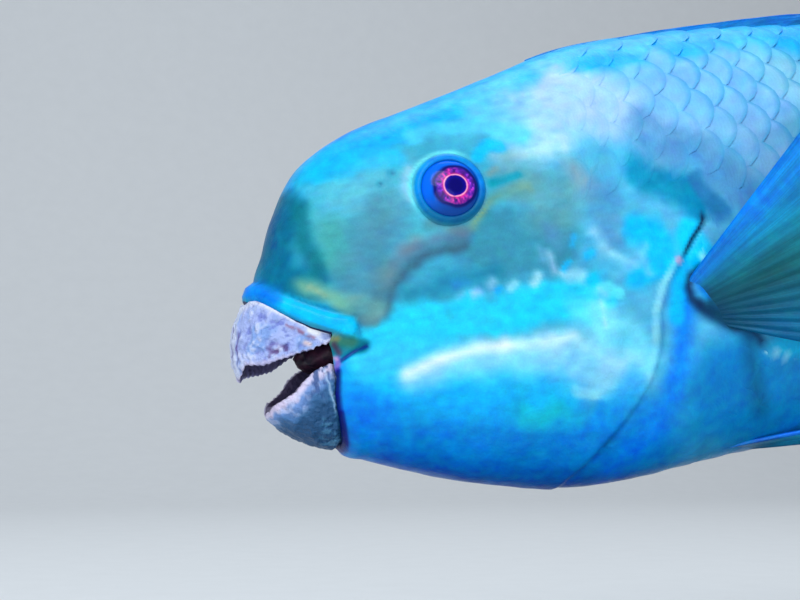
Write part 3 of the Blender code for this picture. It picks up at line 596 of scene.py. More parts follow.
def wet(tree, shader, paint, grain, relief_, gloss):
    """The wet stipple over a colour, led into a shader. Gives its outputs."""
    surface = node(tree, "ShaderNodeGroup", node_tree=stipple, in_Paint=paint, in_Grain=grain, in_Relief=relief_,
                   in_Gloss=gloss).outputs
    feed(shader, {"Base Color": surface["Colour"], "Roughness": surface["Roughness"], "Normal": surface["Normal"]})
    return surface


LACQUER = dict(Specular_IOR_Level=0.09, Coat_Weight=0.05, Coat_Roughness=0.15)
hide_paint, tree, shader = finish_of("hide_paint", **LACQUER)
wet(tree, shader, own(tree), 0.22, 0.25, 0.25)

# lining of the mouth in front of the rings, a short wedge behind them
edge_ring = hide[0]
lining = []
for f in (0.96, 0.88, 0.76, 0.62, 0.48, 0.36, 0.26, 0.18, 0.11, 0.06, 0.025):
    lining.append(edge_ring + (np.array(THROAT) - edge_ring) * (f ** 1.5, f, f))
wedge = [(hide[-1] - (0, 0, 6.6)) * (1, thin, 1 - 0.02 * k) + (back, 0, 6.6)
         for k, (back, thin) in enumerate(((1.0, 0.86), (1.9, 0.62), (2.5, 0.34), (2.8, 0.12)))]
grid = np.concatenate([lining, hide, wedge])
columns, front = len(across), len(lining)
points = np.concatenate([grid.reshape(-1, 3), [THROAT, hide[-1].mean(0) + (2.9, 0, 0)]])
inside = np.zeros(len(points))
inside[:front * columns] = 1
inside[-2] = 1
for k, part in enumerate((0.5, 0.3, 0.12, 0.03)):
    inside[(front + k) * columns:(front + k + 1) * columns] = part * (hide[k][:, 2] < -14)
depth = ease(points[:, 0], 30, 36) * (inside == 1)
paint = dab(markings(points), inside, dab(tint(NAVY), depth, tint(MAROON)))
skin = cast("skin", points, tube(len(grid), columns), hide_paint, paint)

# the hide's own map, on which the scales are laid: u along the body, v round it
corner_u = np.concatenate([-0.05 - 0.005 * np.arange(front)[::-1], ring_u, 1 + 0.004 * np.arange(1, 5)])
corner_v = np.append(across, 1.0)
r, c = np.divmod(np.arange((len(grid) - 1) * columns), columns)
uv = np.full((len(skin.data.loops), 2), (-0.3, 0.5), np.float32)
uv[:len(r) * 4] = np.stack([np.stack([corner_u[r + i], corner_v[c + j]], -1)
                            for i, j in ((0, 0), (0, 1), (1, 1), (1, 0))], 1).reshape(-1, 2)
skin.data.uv_layers.new(name="hide").data.foreach_set("uv", uv.ravel())
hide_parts("head", "torso", "tail_stem")
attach(skin, "root")


# --- The scales -------------------------------------------------------------------
# Large thin horny plates, each rooted in the hide and lapping the next like roof tiles,
# in staggered rows from cheek to tail. On the model they are pressed sheet, laid
# on the hide's own map and painted with the same brush marks as the hide.

SCALE_LONG, SCALE_HIGH = 12.4, 14.6     # pitch along the body and round it
SCALE_LIFT = 0.85                       # free edge over the hide, mm
PLATE_CELLS = 6

# one plate: a fan, its rear edge round, lens-shaped in section


def sheet_faces(n, m, back=(3, 2, 1, 0)):
    """Faces of a thin closed sheet: n by m points of its front, as many of its back, a rim.
    back is the order of a back face's corners, which says along which diagonal it is split."""
    front = np.arange(n * m).reshape(n, m)
    quads = np.stack([front[:-1, :-1], front[1:, :-1], front[1:, 1:], front[:-1, 1:]], -1).reshape(-1, 4)
    border = np.concatenate([front[0], front[1:, -1], front[-1, -2::-1], front[-2:0:-1, 0]])
    after = np.roll(border, -1)
    rim = np.stack([border, after, after + n * m, border + n * m], -1)
    return np.concatenate([quads, quads[:, back] + n * m, rim]).tolist()


n = PLATE_CELLS + 1
s, t = np.meshgrid(np.linspace(0, 1, n), np.linspace(-1, 1, n), indexing="ij")
plate_x = -0.62 + s * (1.28 - 0.42 * np.abs(t) ** 2.2)
plate_y = 0.57 * t * (0.72 + 0.28 * np.sin(np.minimum(s * 1.5, 1) * math.pi / 2)) * (1 - 0.10 * ease(s, 0.6, 1))
crown = 1 - 0.25 * t ** 2
upper = (-0.75 + 1.75 * ease(s, -0.1, 1.05)) * crown - 0.15 * (1 - crown)
lower = upper - 0.34 - 0.3 * np.clip(1 - np.maximum(np.abs(t), np.abs(2 * s - 1)) ** 4, 0, 1)
plate = cast("scale_plate", np.concatenate([np.stack([plate_x, plate_y, z], -1).reshape(-1, 3)
                                            for z in (upper, lower)]), sheet_faces(n, n), None, flat=True)
on_plate = np.concatenate([np.stack([s, t, np.full((n, n), k)], -1).ravel() for k in (1, 0)])
plate.data.attributes.new("on_plate", "FLOAT_VECTOR", "POINT").data.foreach_set("vector", on_plate.astype(np.float32))

# scale sheet: the markings and painted light of the hide, a cool shade along the free edge, fine growth rings
scale_sheet, tree, shader = finish_of("scale_sheet", **LACQUER)
to_edge = node(tree, "ShaderNodeSeparateXYZ", in_Vector=own(tree, "on_plate", "Vector")).outputs["X"]
edge = ranged(tree, to_edge, from_min=0.80, from_max=0.99, interpolation_type="SMOOTHSTEP")
mixed = node(tree, "ShaderNodeMix", data_type="RGBA", in_6=own(tree), in_7=own(tree, "edge_tone"),
             in_0=maths(tree, "MULTIPLY", edge, own(tree, "edge_tone", "Alpha")))
surface = wet(tree, shader, mixed.outputs[2], 0.2, 0.15, 0.2)
growth = maths(tree, "SINE", maths(tree, "MULTIPLY", to_edge, 75.0))
feed(shader, {"Normal": bump(tree, 0.06, 0.0003, growth, in_Normal=surface["Normal"])})

# the tree that lays the plates: each root point carries its place on the hide's own map
laying, want, give = group_of(
    "lay_scales", "GeometryNodeTree",
    {"Roots": "Geometry", "Hide": "Object", "Plate": "Object", "Lift": "Float", "Body Length": "Float",
     "Patch": "Float", "Finish": "Material"}, {"Scales": "Geometry"})


def kept(name, kind="FLOAT_VECTOR"):
    return node(laying, "GeometryNodeInputNamedAttribute", data_type=kind, in_Name=name).outputs["Attribute"]


def store(geometry, name, kind, value, domain="POINT"):
    return node(laying, "GeometryNodeStoreNamedAttribute", data_type=kind, domain=domain, in_Geometry=geometry,
                in_Name=name, in_Value=value).outputs["Geometry"]


def mesh_of(socket):
    return node(laying, "GeometryNodeObjectInfo", in_Object=want.outputs[socket]).outputs["Geometry"]


def reckon(operation, *values, kind="ShaderNodeMath"):
    return maths(laying, operation, *values, kind=kind)


def parted(vector):
    return node(laying, "ShaderNodeSeparateXYZ", in_Vector=vector).outputs[:]


def joined(x, y):
    return node(laying, "ShaderNodeCombineXYZ", in_X=x, in_Y=y).outputs[0]


position = node(laying, "GeometryNodeInputPosition").outputs[0]
facing = node(laying, "GeometryNodeInputNormal").outputs[0]
laid = node(laying, "GeometryNodeInstanceOnPoints", in_Points=want.outputs["Roots"],
            in_Instance=store(mesh_of("Plate"), "own_shape", "FLOAT_VECTOR", position))
real = node(laying, "GeometryNodeRealizeInstances", in_Geometry=laid.outputs["Instances"])
sx, sy, sz = parted(kept("own_shape"))
size_x, size_y, turn_by = parted(kept("size"))
root_u, root_v, per_girth = parted(kept("root"))
px, py = reckon("MULTIPLY", sx, size_x), reckon("MULTIPLY", sy, size_y)
cos_, sin_ = reckon("COSINE", turn_by), reckon("SINE", turn_by)
mx = reckon("SUBTRACT", reckon("MULTIPLY", px, cos_), reckon("MULTIPLY", py, sin_))
my = reckon("ADD", reckon("MULTIPLY", px, sin_), reckon("MULTIPLY", py, cos_))
map_place = joined(reckon("ADD", root_u, reckon("DIVIDE", mx, want.outputs["Body Length"])),
                   reckon("FRACT", reckon("SUBTRACT", root_v, reckon("MULTIPLY", my, per_girth))))
hide_mesh, hide_map = mesh_of("Hide"), kept("hide")


def from_hide(kind, value):
    return node(laying, "GeometryNodeSampleUVSurface", data_type=kind, in_Mesh=hide_mesh, in_Value=value,
                in_Source_UV_Map=hide_map, in_Sample_UV=map_place).outputs


VECTOR = "ShaderNodeVectorMath"
spot = from_hide("FLOAT_VECTOR", position)
outwards = reckon("NORMALIZE", from_hide("FLOAT_VECTOR", facing)[0], kind=VECTOR)
lift = reckon("MULTIPLY", reckon("MULTIPLY", sz, kept("thin", "FLOAT")), want.outputs["Lift"])
lifted = node(laying, VECTOR, operation="SCALE", in_Vector=outwards, in_Scale=lift)
colour_there = from_hide("FLOAT_COLOR", kept("markings", "FLOAT_COLOR"))[0]
stored = store(real.outputs["Geometry"], "markings", "FLOAT_COLOR", colour_there)
valid = store(stored, "on_hide", "BOOLEAN", spot["Is Valid"])
patch = joined(*(reckon("ADD", root, reckon("MULTIPLY", shape, want.outputs["Patch"]))
                 for root, shape in ((root_u, sx), (root_v, sy))))
mapped = store(valid, "OFBake", "FLOAT2", patch, domain="CORNER")
moved = node(laying, "GeometryNodeSetPosition", in_Geometry=mapped,
             in_Position=reckon("ADD", spot[0], lifted.outputs[0], kind=VECTOR))
off = node(laying, "FunctionNodeBooleanMath", operation="NOT", in_Boolean=kept("on_hide", "BOOLEAN"))
clean = node(laying, "GeometryNodeDeleteGeometry", domain="POINT", in_Geometry=moved.outputs["Geometry"],
             in_Selection=off.outputs[0])
faced = node(laying, "GeometryNodeFlipFaces", in_Mesh=clean.outputs["Geometry"],
             in_Selection=reckon("LESS_THAN", per_girth, 0.0))      # plates on the right are mirrored
dressed = node(laying, "GeometryNodeSetMaterial", in_Geometry=faced.outputs["Mesh"],
               in_Material=want.outputs["Finish"])
feed(give, {"Scales": dressed.outputs["Geometry"]})

FIN_ROOT = ((140, -3), (149, -13), (158, -22))      # no plate is rooted near it


def scale_roots(side):
    """Root points on one side, row by row. Columns: u, v, 1/girth, length, height, turn,
    x, z, how far it lifts, chance, and how strongly its edge is shaded."""
    dice = np.random.default_rng(7 if side < 0 else 8)
    found = []
    a, column = 88.0, 0
    while a < BODY_LONG - 7:
        u = a / BODY_LONG
        round_ = float(np.interp(u, ring_u, girth))
        ring_turn = turn[int(np.interp(u, ring_u, np.arange(rings)))]
        small = 1 - 0.30 * ease(a, 300, BODY_LONG)
        high = SCALE_HIGH * small
        rows = int(round_ / 4 / high) + 2
        for row in range(-rows, rows + 1):
            v = 0.25 - (row + column % 2 / 2) * high / round_
            if not 0.012 < v < 0.488:
                continue
            x, _, z = body_point(np.interp([u], ring_u, place), np.interp([v], across, ring_turn))[0]
            on_face = x < 106 + 0.25 * (z - 34) or (x < gill_x(z) + 7.5 and z < 34)
            if on_face or from_line(x, z, FIN_ROOT) < 9:
                continue
            first = ease(x - max(106, gill_x(z)), 0, 44)
            below = ease(-4 - z, 0, 8) * (1 - ease(x, 172, 205))
            found.append((u, v if side < 0 else 1 - v, -side / round_, SCALE_LONG * small * (0.8 + 0.2 * first),
                          high, 0.16 + 0.08 * dice.normal() - 0.1 * math.cos(v * 2 * math.pi), x, z,
                          (0.3 + 0.7 * first + 0.08 * dice.normal()) * (1 - 0.72 * below), dice.random(),
                          (0.25 + 0.75 * first) * (1 - 0.85 * below)))
        a += SCALE_LONG * small / 2 * (0.8 + 0.2 * ease(a, 100, 140))
        column += 1
    return np.array(found, float)


def scale_coat(name, side):
    found = scale_roots(side)
    x, z, thin, chance, strong = found.T[6:]
    # free edge: teal over the shoulder, salmon to rose on the hidden flank as in life
    rosy = ease(x, 185, 260) * (1 - ease(x, 350, 430)) * ease(z, -44, -20) * (1 - ease(z, 30, 60))
    tone = dab(dab(np.array((20, 150, 205)), ease(x, 180, 300), (14, 112, 128)), rosy, (226, 150, 140))
    edge_tone = np.column_stack([tint(tone), (0.30 + 0.45 * rosy + 0.3 * chance) * strong])
    mesh = bpy.data.meshes.new(name + "_roots")
    mesh.from_pydata([(u, v, 0) for u, v in found[:, :2]], [], [])
    for key, kind, field, rows in (("root", "FLOAT_VECTOR", "vector", found[:, :3]),
                                   ("size", "FLOAT_VECTOR", "vector", found[:, 3:6]),
                                   ("thin", "FLOAT", "value", thin), ("edge_tone", "FLOAT_COLOR", "color", edge_tone)):
        mesh.attributes.new(key, kind, "POINT").data.foreach_set(field, rows.astype(np.float32).ravel())
    coat = bpy.data.objects.new(name, mesh)
    bpy.context.scene.collection.objects.link(coat)
    lay = coat.modifiers.new("lay", "NODES")
    lay.node_group = laying
    ids = {s.name: s.identifier for s in laying.interface.items_tree if s.in_out == "INPUT"}
    for key, value in (("Hide", skin), ("Plate", plate), ("Lift", SCALE_LIFT * MM),
                       ("Body Length", float(BODY_LONG)), ("Patch", 0.003), ("Finish", scale_sheet)):
        lay[ids[key]] = value
    bpy.context.view_layer.update()
    finished = bpy.data.meshes.new_from_object(coat.evaluated_get(bpy.context.evaluated_depsgraph_get()))
    coat.modifiers.clear()
    coat.data = finished
    finished.name = name
    finished.shade_smooth()
    finished.set_sharp_from_angle(angle=math.radians(50))
    for spare in ("own_shape", "root", "size", "thin", "on_hide"):
        if spare in finished.attributes:
            finished.attributes.remove(finished.attributes[spare])
    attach(coat, "root")


scale_coat("scales_left", -1)
scale_coat("scales_right", 1)
bpy.data.objects.remove(plate, do_unlink=True)


# --- The eyes ---------------------------------------------------------------------
# A real eye is a wet ball that turns in the orbit: blue skin round it, a mottled violet
# iris, a bright ring and a dark pupil. The model's are glass eyes, each a painted dome
# with a clear polished face, let into its socket.

EYE_DOME, EYE_SEAT = 3.5, 5.6
PUPIL_X, PUPIL, RING, IRIS = 1.4, 3.45, 4.0, 6.5
PUPIL_DEEP = (6, 2, 104)
ORBIT_OUT = (9.1, 9.0, 9.05, 9.2, 9.5, 9.85, 10.2, 10.6, 11.0, 11.4, 11.8, 12.1, 11.6, 10.6, 9.6)
ORBIT_UP = (-3.0, 0.35, 0.95, 1.2, 1.36, 1.42, 1.36, 1.18, 0.88, 0.48, -0.1, -1.3, -3.2, -3.6, -3.4)

eye_face, tree, shader = finish_of("eye_face", 0.12, Specular_IOR_Level=0.1, Coat_Weight=0.08, Coat_Roughness=0.03)
feed(shader, {"Base Color": own(tree), "Roughness": ranged(tree, noise(tree, 900.0, 2.0), 0.08, 0.2)})

radii = np.append(np.linspace(0.12, 8.7, 80), (9.0, 9.2, 9.2, 9.0))
heights = np.append(EYE_DOME * np.sqrt(np.clip(1 - (radii[:80] / 9.6) ** 2, 0, 1)) ** 1.15,
                    (1.0, 0.7, -1.5, -EYE_SEAT))
spin = np.linspace(0, 2 * math.pi, 160, endpoint=False)


def turned(radii, levels):
    """Rings of points round the eye's own axis."""
    r, a = np.meshgrid(radii, spin, indexing="ij")
    return np.stack([r * np.cos(a), r * np.sin(a), np.tile(levels, (len(spin), 1)).T], -1)


def faced_out(obj):
    """Turns the faces of a closed mesh outward."""
    shape = bmesh.new()
    shape.from_mesh(obj.data)
    bmesh.ops.recalc_face_normals(shape, faces=shape.faces)
    if shape.calc_volume(signed=True) < 0:
        bmesh.ops.reverse_faces(shape, faces=shape.faces)
    shape.to_mesh(obj.data)
    shape.free()


for side, name in ((-1, "eye_left"), (1, "eye_right")):
    seat = np.array(eye_frame(side))
    dome = turned(radii, heights)
    x, up = dome[..., 0], -side * dome[..., 1]      # tail to +x and up to +y, on either side
    way = np.arctan2(up, x)
    off = np.hypot(x - PUPIL_X, up * (1.0 + 0.06 * (np.hypot(x, up) > PUPIL)))
    iris_off = off + 0.25 * mottle(dome + 3, 2.4, 31)
    fibre = mottle(np.stack([np.cos(way) * 9, np.sin(way) * 9, off * 0.5], -1), 1.0, 32)
    spots = 0.6 * mottle(dome * (1, 1, 0), 0.55, 33) + 0.5 * mottle(dome * (1, 1, 0), 1.3, 34)
    bright = np.clip(spots, 0, 1)
    violet = np.array((96, 34, 176)) + np.stack([70 * bright, 30 * bright, 10 * spots], -1)
    reddish = ease(np.cos(2 * way - 3.6) + 1.1 * fibre + 0.9 * spots, -0.4, 1.6)
    iris = dab(violet, reddish, (184, 46, 150)) * (1 + 0.34 * spots + 0.2 * fibre)[..., None]
    # the blue of the eyeball darkens towards its lower rear: painted shade
    blue = dab(np.array((0, 104, 232)), ease(0.5 * x - up, -4, 7), (4, 66, 150))
    paint = layered(
        blue, (1 - ease(iris_off, IRIS - 0.35, IRIS + 0.1), iris, 1),
        (bell(iris_off - IRIS - 0.25, 0.65), (14, 10, 96), 0.95),
        (bell(off - RING, 0.5), (236, 34, 128), 0.6),
        (bell(off - (PUPIL + RING) / 2, 0.24), (255, 170, 196), 1),
        (1 - ease(off, PUPIL - 0.25, PUPIL + 0.1), (12, 4, 142), 1),
        (1 - ease(off, 1.6, 3.4), PUPIL_DEEP, 1))
    at = np.concatenate([dome.reshape(-1, 3), [(0, 0, EYE_DOME), (0, 0, -EYE_SEAT)]]) @ seat[:3, :3].T + seat[:3, 3]
    tones = np.concatenate([paint.reshape(-1, 3), [PUPIL_DEEP, PUPIL_DEEP]])
    eye = cast(name + "_glass", at, tube(len(radii), len(spin)), eye_face, tint(np.clip(tones, 0, 255)))
    faced_out(eye)
    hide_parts(name)
    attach(eye, "root")
    # the rolled rim of the orbit: a soft ring, let into the hide all round
    roll = turned(ORBIT_OUT, ORBIT_UP)
    worn = 0.16 * mottle(roll, 4.5, 35) - 0.25 * ease(side * np.sin(spin), 0, 1)
    roll[..., 2] += (np.array(ORBIT_UP) > -1)[:, None] * worn
    at = (roll @ seat[:3, :3].T + seat[:3, 3]).reshape(-1, 3)
    rim = cast(name.replace("eye", "orbit"), at, tube(len(ORBIT_UP), len(spin), ends=False), hide_paint, markings(at))
    faced_out(rim)
    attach(rim, "root")


# --- The beak ---------------------------------------------------------------------
# Teeth fused into two plates that scrape coral: chalky, pitted and stained, worn to a
# lumpy edge, with a thin suture down the front. The model's are cast in resin and are
# set under the lips, the upper one round the front of the jaw, the lower one a scoop.

BEAK_LONG, BEAK_HALF, BEAK_ROUND = 28.0, 17.0, 2.2
BEAK_FRONT = ((-12.5, 0.2), (-6.3, -0.7), (0, -0.3), (6, 1.7), (11.2, 4.8))
EDGE_LEFT = ((0, -12), (2, -7), (6, -8.1), (15, -6.6), (21, -5.8), (28, -3.9))
EDGE_RIGHT = ((0, -12), (3, -11.3), (9, -11.1), (14, -10.6), (19, -8), (28, -3.9))
JAW_TOP = ((6.7, -23.6), (9, -20.8), (12, -19.5), (15, -17.9), (18.3, -14.7), (21.6, -12.5), (26.2, -10.9))
JAW_BOTTOM = ((6.7, -24.2), (8, -26), (10.7, -29), (13.6, -31.4), (19.4, -35.7), (23.1, -37.3), (26.2, -38.2))
JAW_HALF = 16.4
CHALK = (168, 184, 238)
WALL_TOP, WALL_EDGE = 4.0, 1.5      # how thick the upper plate is at the lip and at its edge
KNOB_UP, KNOB_LOW = 2.1, 1.9        # pitch of the knobs of old tooth tips along each edge

# pitted tooth plate: chalky paint, pores that hold stain, a dull worn surface
tooth_plate, tree, shader = finish_of("tooth_plate", Coat_Weight=0.08, Coat_Roughness=0.3)
here = node(tree, "ShaderNodeTexCoord").outputs["Object"]
pits = node(tree, "ShaderNodeTexVoronoi", in_Vector=here, in_Scale=900.0).outputs["Distance"]
lumps = noise(tree, 520.0, 5.0, here)
hole = maths(tree, "SUBTRACT", 1.0, ranged(tree, pits, from_min=0.08, from_max=0.32))
stain = maths(tree, "MULTIPLY", hole, ranged(tree, lumps, from_min=0.42, from_max=0.6))
some = maths(tree, "MULTIPLY", stain, 0.12)
mixed = node(tree, "ShaderNodeMix", data_type="RGBA", blend_type="MULTIPLY", in_0=some, in_6=own(tree),
             in_7=(0.30, 0.28, 0.50, 1))
feed(shader, {"Base Color": mixed.outputs[2], "Roughness": ranged(tree, lumps, 0.45, 0.75),
              "Normal": bump(tree, 1.0, 0.0014, maths(tree, "SUBTRACT", lumps, some))})


def shell(name, grid, paint, node_name):
    """A closed piece over rings of points that close on themselves, ends filled."""
    points, tones = (np.concatenate([a.reshape(-1, 3), [a[0].mean(0), a[-1].mean(0)]]) for a in (grid, paint))
    obj = cast(name, points, tube(*grid.shape[:2]), tooth_plate, tint(np.clip(tones, 0, 255)))
    faced_out(obj)
    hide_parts(node_name)
    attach(obj, "root")


# upper plate: rings run round the jaw, each down its face, under its edge and up inside
downs = np.concatenate([np.linspace(0, 0.97, 34), [0.99, 1.0], [0.99, 0.95], np.linspace(0.9, 0, 12)])
inner = np.concatenate([np.zeros(34), [0.25, 0.5], [0.8, 1.0], np.ones(12)])
wall = inner * (WALL_TOP + (WALL_EDGE - WALL_TOP) * downs)
grid = []
for angle in np.radians(np.linspace(-90, 90, 221)):
    spread = math.copysign(abs(math.sin(angle)) ** (2 / BEAK_ROUND), angle)
    bulge = 1 - max(math.cos(angle), 0) ** (2 / BEAK_ROUND)
    z = np.zeros(len(downs))
    for _ in range(7):
        front_x = table(BEAK_FRONT, z) + wall
        x = front_x + (BEAK_LONG - front_x) * bulge
        top_z = table(LIP_LINE, x) - 0.45
        z = top_z + (table(EDGE_LEFT if angle < 0 else EDGE_RIGHT, x) - top_z) * downs
    grid.append(np.stack([x, (BEAK_HALF - wall) * spread, z], -1))
grid = np.stack(grid)
down, inn = downs[None], inner[None]
side_x = grid[..., 0].copy()
# knobs of old tooth tips along the edge, lumps over the face, pits, and the suture
knob = 0.42 * np.abs(np.sin(arc_of(grid[:, 30])[:, None] * math.pi / KNOB_UP)) - 0.2 + 0.3 * mottle(grid, 2.6, 41)
grid[..., 2] += knob * ease(down, 0.72, 1.0)
normal = -outward(grid)
out_ = np.where((normal * (grid - (24, 0, -2))).sum(-1, keepdims=True) > 0, normal, -normal)
lump = 0.36 * mottle(grid, 2.6, 42) + 0.24 * mottle(grid, 1.1, 43) + 0.14 * mottle(grid, 0.6, 44)
pit_zone = bell(side_x - 11.5, 5) * ease(down, 0.6, 0.8) * (1 - ease(down, 0.92, 0.99))
pit = ease(mottle(grid, 1.3, 45), 0.25 - 0.35 * pit_zone, 0.8) * (0.2 + 0.8 * pit_zone)
suture = bell(grid[..., 1], 0.32)
rise = (1 - inn) * ease(down, -0.02, 0.05) * (lump - 0.7 * pit - 0.35 * suture)
grid = grid + out_ * rise[..., None]
middle_y, z = np.abs(grid[..., 1]), grid[..., 2]
streak = from_line(side_x, z, ((14.6, 3.6), (18.1, 0.9), (19.7, -0.4), (22.6, -2.2)))
paint = layered(
    np.ones(grid.shape) * CHALK, (ease(mottle(grid, 4.5, 46), -0.1, 0.6), (116, 158, 224), 0.7),
    # paler on the tops of the lumps and darker between them: painted light and painted shade of the relief
    (ease(lump, 0.12, 0.5), (222, 226, 252), 0.75),
    (ease(-lump, 0.1, 0.45), (92, 104, 190), 0.6),
    (pit * (0.25 + 0.75 * pit_zone), (70, 36, 96), 0.8),
    # white along the top edge under the lip and down the middle of the front: painted highlights
    (bell(down - 0.03, 0.05), (232, 234, 252), 0.9),
    ((1 - ease(middle_y, 3.4, 4.4)) * (1 - inn), (226, 232, 252), 0.75),
    (bell(middle_y - 4.9, 0.4) * ease(z, -7, -4) * ease(4.5 - z, 0, 3), (84, 60, 132), 0.75),
    (bell(streak, 0.6) * ease(mottle(grid, 1.4, 48), -0.7, 0.2), (138, 84, 116), 0.8),
    # a white spot at the rear tip: a painted highlight
    (bell(from_line(side_x, z, ((21.8, 0.2), (24, -1.2))), 1.2), (250, 248, 250), 0.95),
    (bell(from_line(side_x, z, ((19.8, -3.4), (21, -4))), 0.9), (250, 212, 204), 0.8),
    (ease(down, 0.9, 1.0) * (1 - inn), (224, 206, 232), 0.7),
    (suture, (74, 70, 130), 0.7),
    # the inner face darker: painted shade
    (inn, (96, 88, 132), 0.85))
shell("beak_plate_upper", grid, paint, "beak_upper")


def bowed(value):
    return np.sign(value) * np.abs(value) ** 0.85


# lower plate: a scoop from its lumpy tip back to the face of the jaw
outer, back_ = np.pi * np.linspace(0, 1, 110), np.pi * np.linspace(1, 0, 40)
reach = np.append(np.linspace(0, 1, 90) ** 1.25, (1.04, 1.08, 1.14))
grid = []
for u in reach:
    at_x = JAW_TOP[0][0] + 0.15 + (JAW_TOP[-1][0] - JAW_TOP[0][0] - 0.15) * u
    top_z, low = table(JAW_TOP, at_x), table(JAW_BOTTOM, at_x)
    half = JAW_HALF * max(0.004, 1 - max(0, 1 - u / 1.05) ** BEAK_ROUND) ** (1 / BEAK_ROUND)
    wall = min(0.75, 3.4 / half)
    hollow = 0.05 + 0.75 * min(1.0, max(0.0, (u - 0.1) / 0.4))
    y = np.concatenate([-half * bowed(np.cos(outer)), -half * (1 - wall) * bowed(np.cos(back_))])
    z = np.concatenate([top_z - (top_z - low) * np.sin(outer) ** 0.85,
                        top_z - (top_z - low) * hollow * np.sin(back_) ** 0.85 - 0.1])
    waist = np.clip(1 - ((z + 24) / 13) ** 2, 0, None) * 0.5 * min(u, 1)
    sunk = 1 - 0.7 * max(0, u - 1)
    grid.append(np.stack([at_x - waist + 0.2 * u, y * sunk, -24 + (z + 24) * sunk], -1))
grid = np.stack(grid)
skirt, reach = np.append(np.sin(outer), -np.ones(40))[None], reach[:, None]
outside = (skirt >= 0).astype(float)
edge_near = outside * (1 - ease(skirt, 0.0, 0.22)) + (1 - outside) * 0.3
knob = 0.45 * np.abs(np.sin(grid[..., 0] * 1.25 * math.pi / KNOB_LOW)) - 0.25 + 0.3 * mottle(grid, 2.2, 51)
grid[..., 2] += edge_near * knob * (reach < 0.99)
out_ = grid - (20, 0, -22.0)
out_ = out_ / np.linalg.norm(out_, axis=-1, keepdims=True)
lump = 0.22 * mottle(grid, 2.4, 52) + 0.14 * mottle(grid, 1.0, 53)
pit = ease(mottle(grid, 1.3, 54), 0.3, 0.7)
grid = grid + out_ * (outside * (lump * ease(skirt, 0, 0.1) - 0.35 * pit * ease(reach, 0.5, 0.8)))[..., None]
z, above = grid[..., 2], grid[..., 2] - table(JAW_TOP, grid[..., 0])
slope = ease(above + 1.4 * mottle(grid, 3, 55), -11, -3)
smear = ease(-mottle(grid * (0.35, 1, 1), 1.2, 58), 0.35, 0.7)
rear = 25.4 + 0.12 * (-20 - z) + 0.3 * mottle(grid, 1.5, 40)
paint = layered(
    np.ones(grid.shape) * (8, 76, 124), (slope, (118, 152, 216), 0.9),
    # white along the top edge: a painted highlight
    (ease(above + 0.8 * mottle(grid, 2, 56), -3.6, -1.2), (232, 214, 240), 0.9),
    (ease(mottle(grid, 1.6, 57), 0.1, 0.6) * slope, (214, 216, 246), 0.5),
    (pit * ease(reach, 0.4, 0.8) * slope, (40, 70, 130), 0.8),
    (smear * (1 - slope) * ease(reach, 0.6, 0.9), (120, 172, 206), 0.5),
    (bell(grid[..., 0] - rear, 0.4) * ease(z, -30, -26) * outside, (190, 214, 244), 0.7),
    # the inside of the scoop darker: painted shade
    (1 - outside, (70, 58, 98), 0.85))
shell("beak_plate_lower", grid, paint, "beak_lower")

# the pad of the tongue, which closes the view through the mouth
a, b = np.meshgrid(np.linspace(0, math.pi, 40), np.linspace(0, 2 * math.pi, 56, endpoint=False), indexing="ij")
tongue = np.stack([35 - 15.5 * np.cos(a), 13.0 * np.sin(a) ** 0.7 * np.sin(b),
                   -9.4 + 6.8 * np.sin(a) ** 0.8 * np.cos(b) + 1.6 * np.cos(a)], -1)
rough = 0.05 * mottle(tongue, 3.4, 59) + 0.03 * mottle(tongue, 1.4, 60)
tongue = tongue + (tongue - (35, 0, -9.4)) * rough[..., None]
flesh, tree, shader = finish_of("mouth_flesh", 0.5, Specular_IOR_Level=0.2, Coat_Weight=0.06, Coat_Roughness=0.2)
veins = noise(tree, 420.0, 4.0)
feed(shader, {"Base Color": ramp(tree, veins, (0.010, 0.005, 0.016), (0.055, 0.016, 0.036), (0.35, 0.7)),
              "Normal": bump(tree, 0.4, 0.0008, veins)})
tips = [tongue[0].mean(0), tongue[-1].mean(0)]
tongue = tongue[1:-1]
pad = cast("tongue", np.concatenate([tongue.reshape(-1, 3), tips]), tube(*tongue.shape[:2]), flesh)
faced_out(pad)
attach(pad, "root")


# --- The fins ---------------------------------------------------------------------
# Thin skin stretched over jointed rays that fork towards the margin. The model's are
# moulded sheets of resin, each ray standing up as a ridge of the sheet's own surface,
# pinned into the body at the root, painted and lacquered.

outline = body_row(np.linspace(0, len(BODY) - 1, 400))
UPRIGHT = np.array((0, 1, 0))
NONE = (0, 0, 0)        # a tone that covers nothing


def back_z(x):
    return np.interp(x, outline[:, 0], outline[:, 1])


def belly_z(x):
    return np.interp(x, outline[:, 2], outline[:, 3])


def fin_grain(u, v, size, seed):
    """Mottle on a fin's own plane, so that it runs with the rays."""
    return mottle(np.stack([u, v, 0 * u], -1), size, seed)


# fin skin: markings with some painted shade, fine joints across the rays, a silky wet surface
fin_skin, tree, shader = finish_of("fin_skin", Specular_IOR_Level=0.2, Coat_Weight=0.1, Coat_Roughness=0.15)
surface = wet(tree, shader, own(tree), 0.25, 0.15, 0.22)
face_map = node(tree, "ShaderNodeUVMap", uv_map="face").outputs[0]
stretch = node(tree, "ShaderNodeMapping", in_Vector=face_map, in_Scale=(170.0, 5.0, 1.0)).outputs[0]
threads = noise(tree, 1.0, 3.0, stretch)
streaky = node(tree, "ShaderNodeHueSaturation", in_Color=surface["Colour"],
               in_Value=ranged(tree, threads, 0.84, 1.14, 0.3, 0.7))
feed(shader, {"Base Color": streaky.outputs[0],
              "Normal": bump(tree, 0.4, 0.0006, threads, in_Normal=surface["Normal"])})


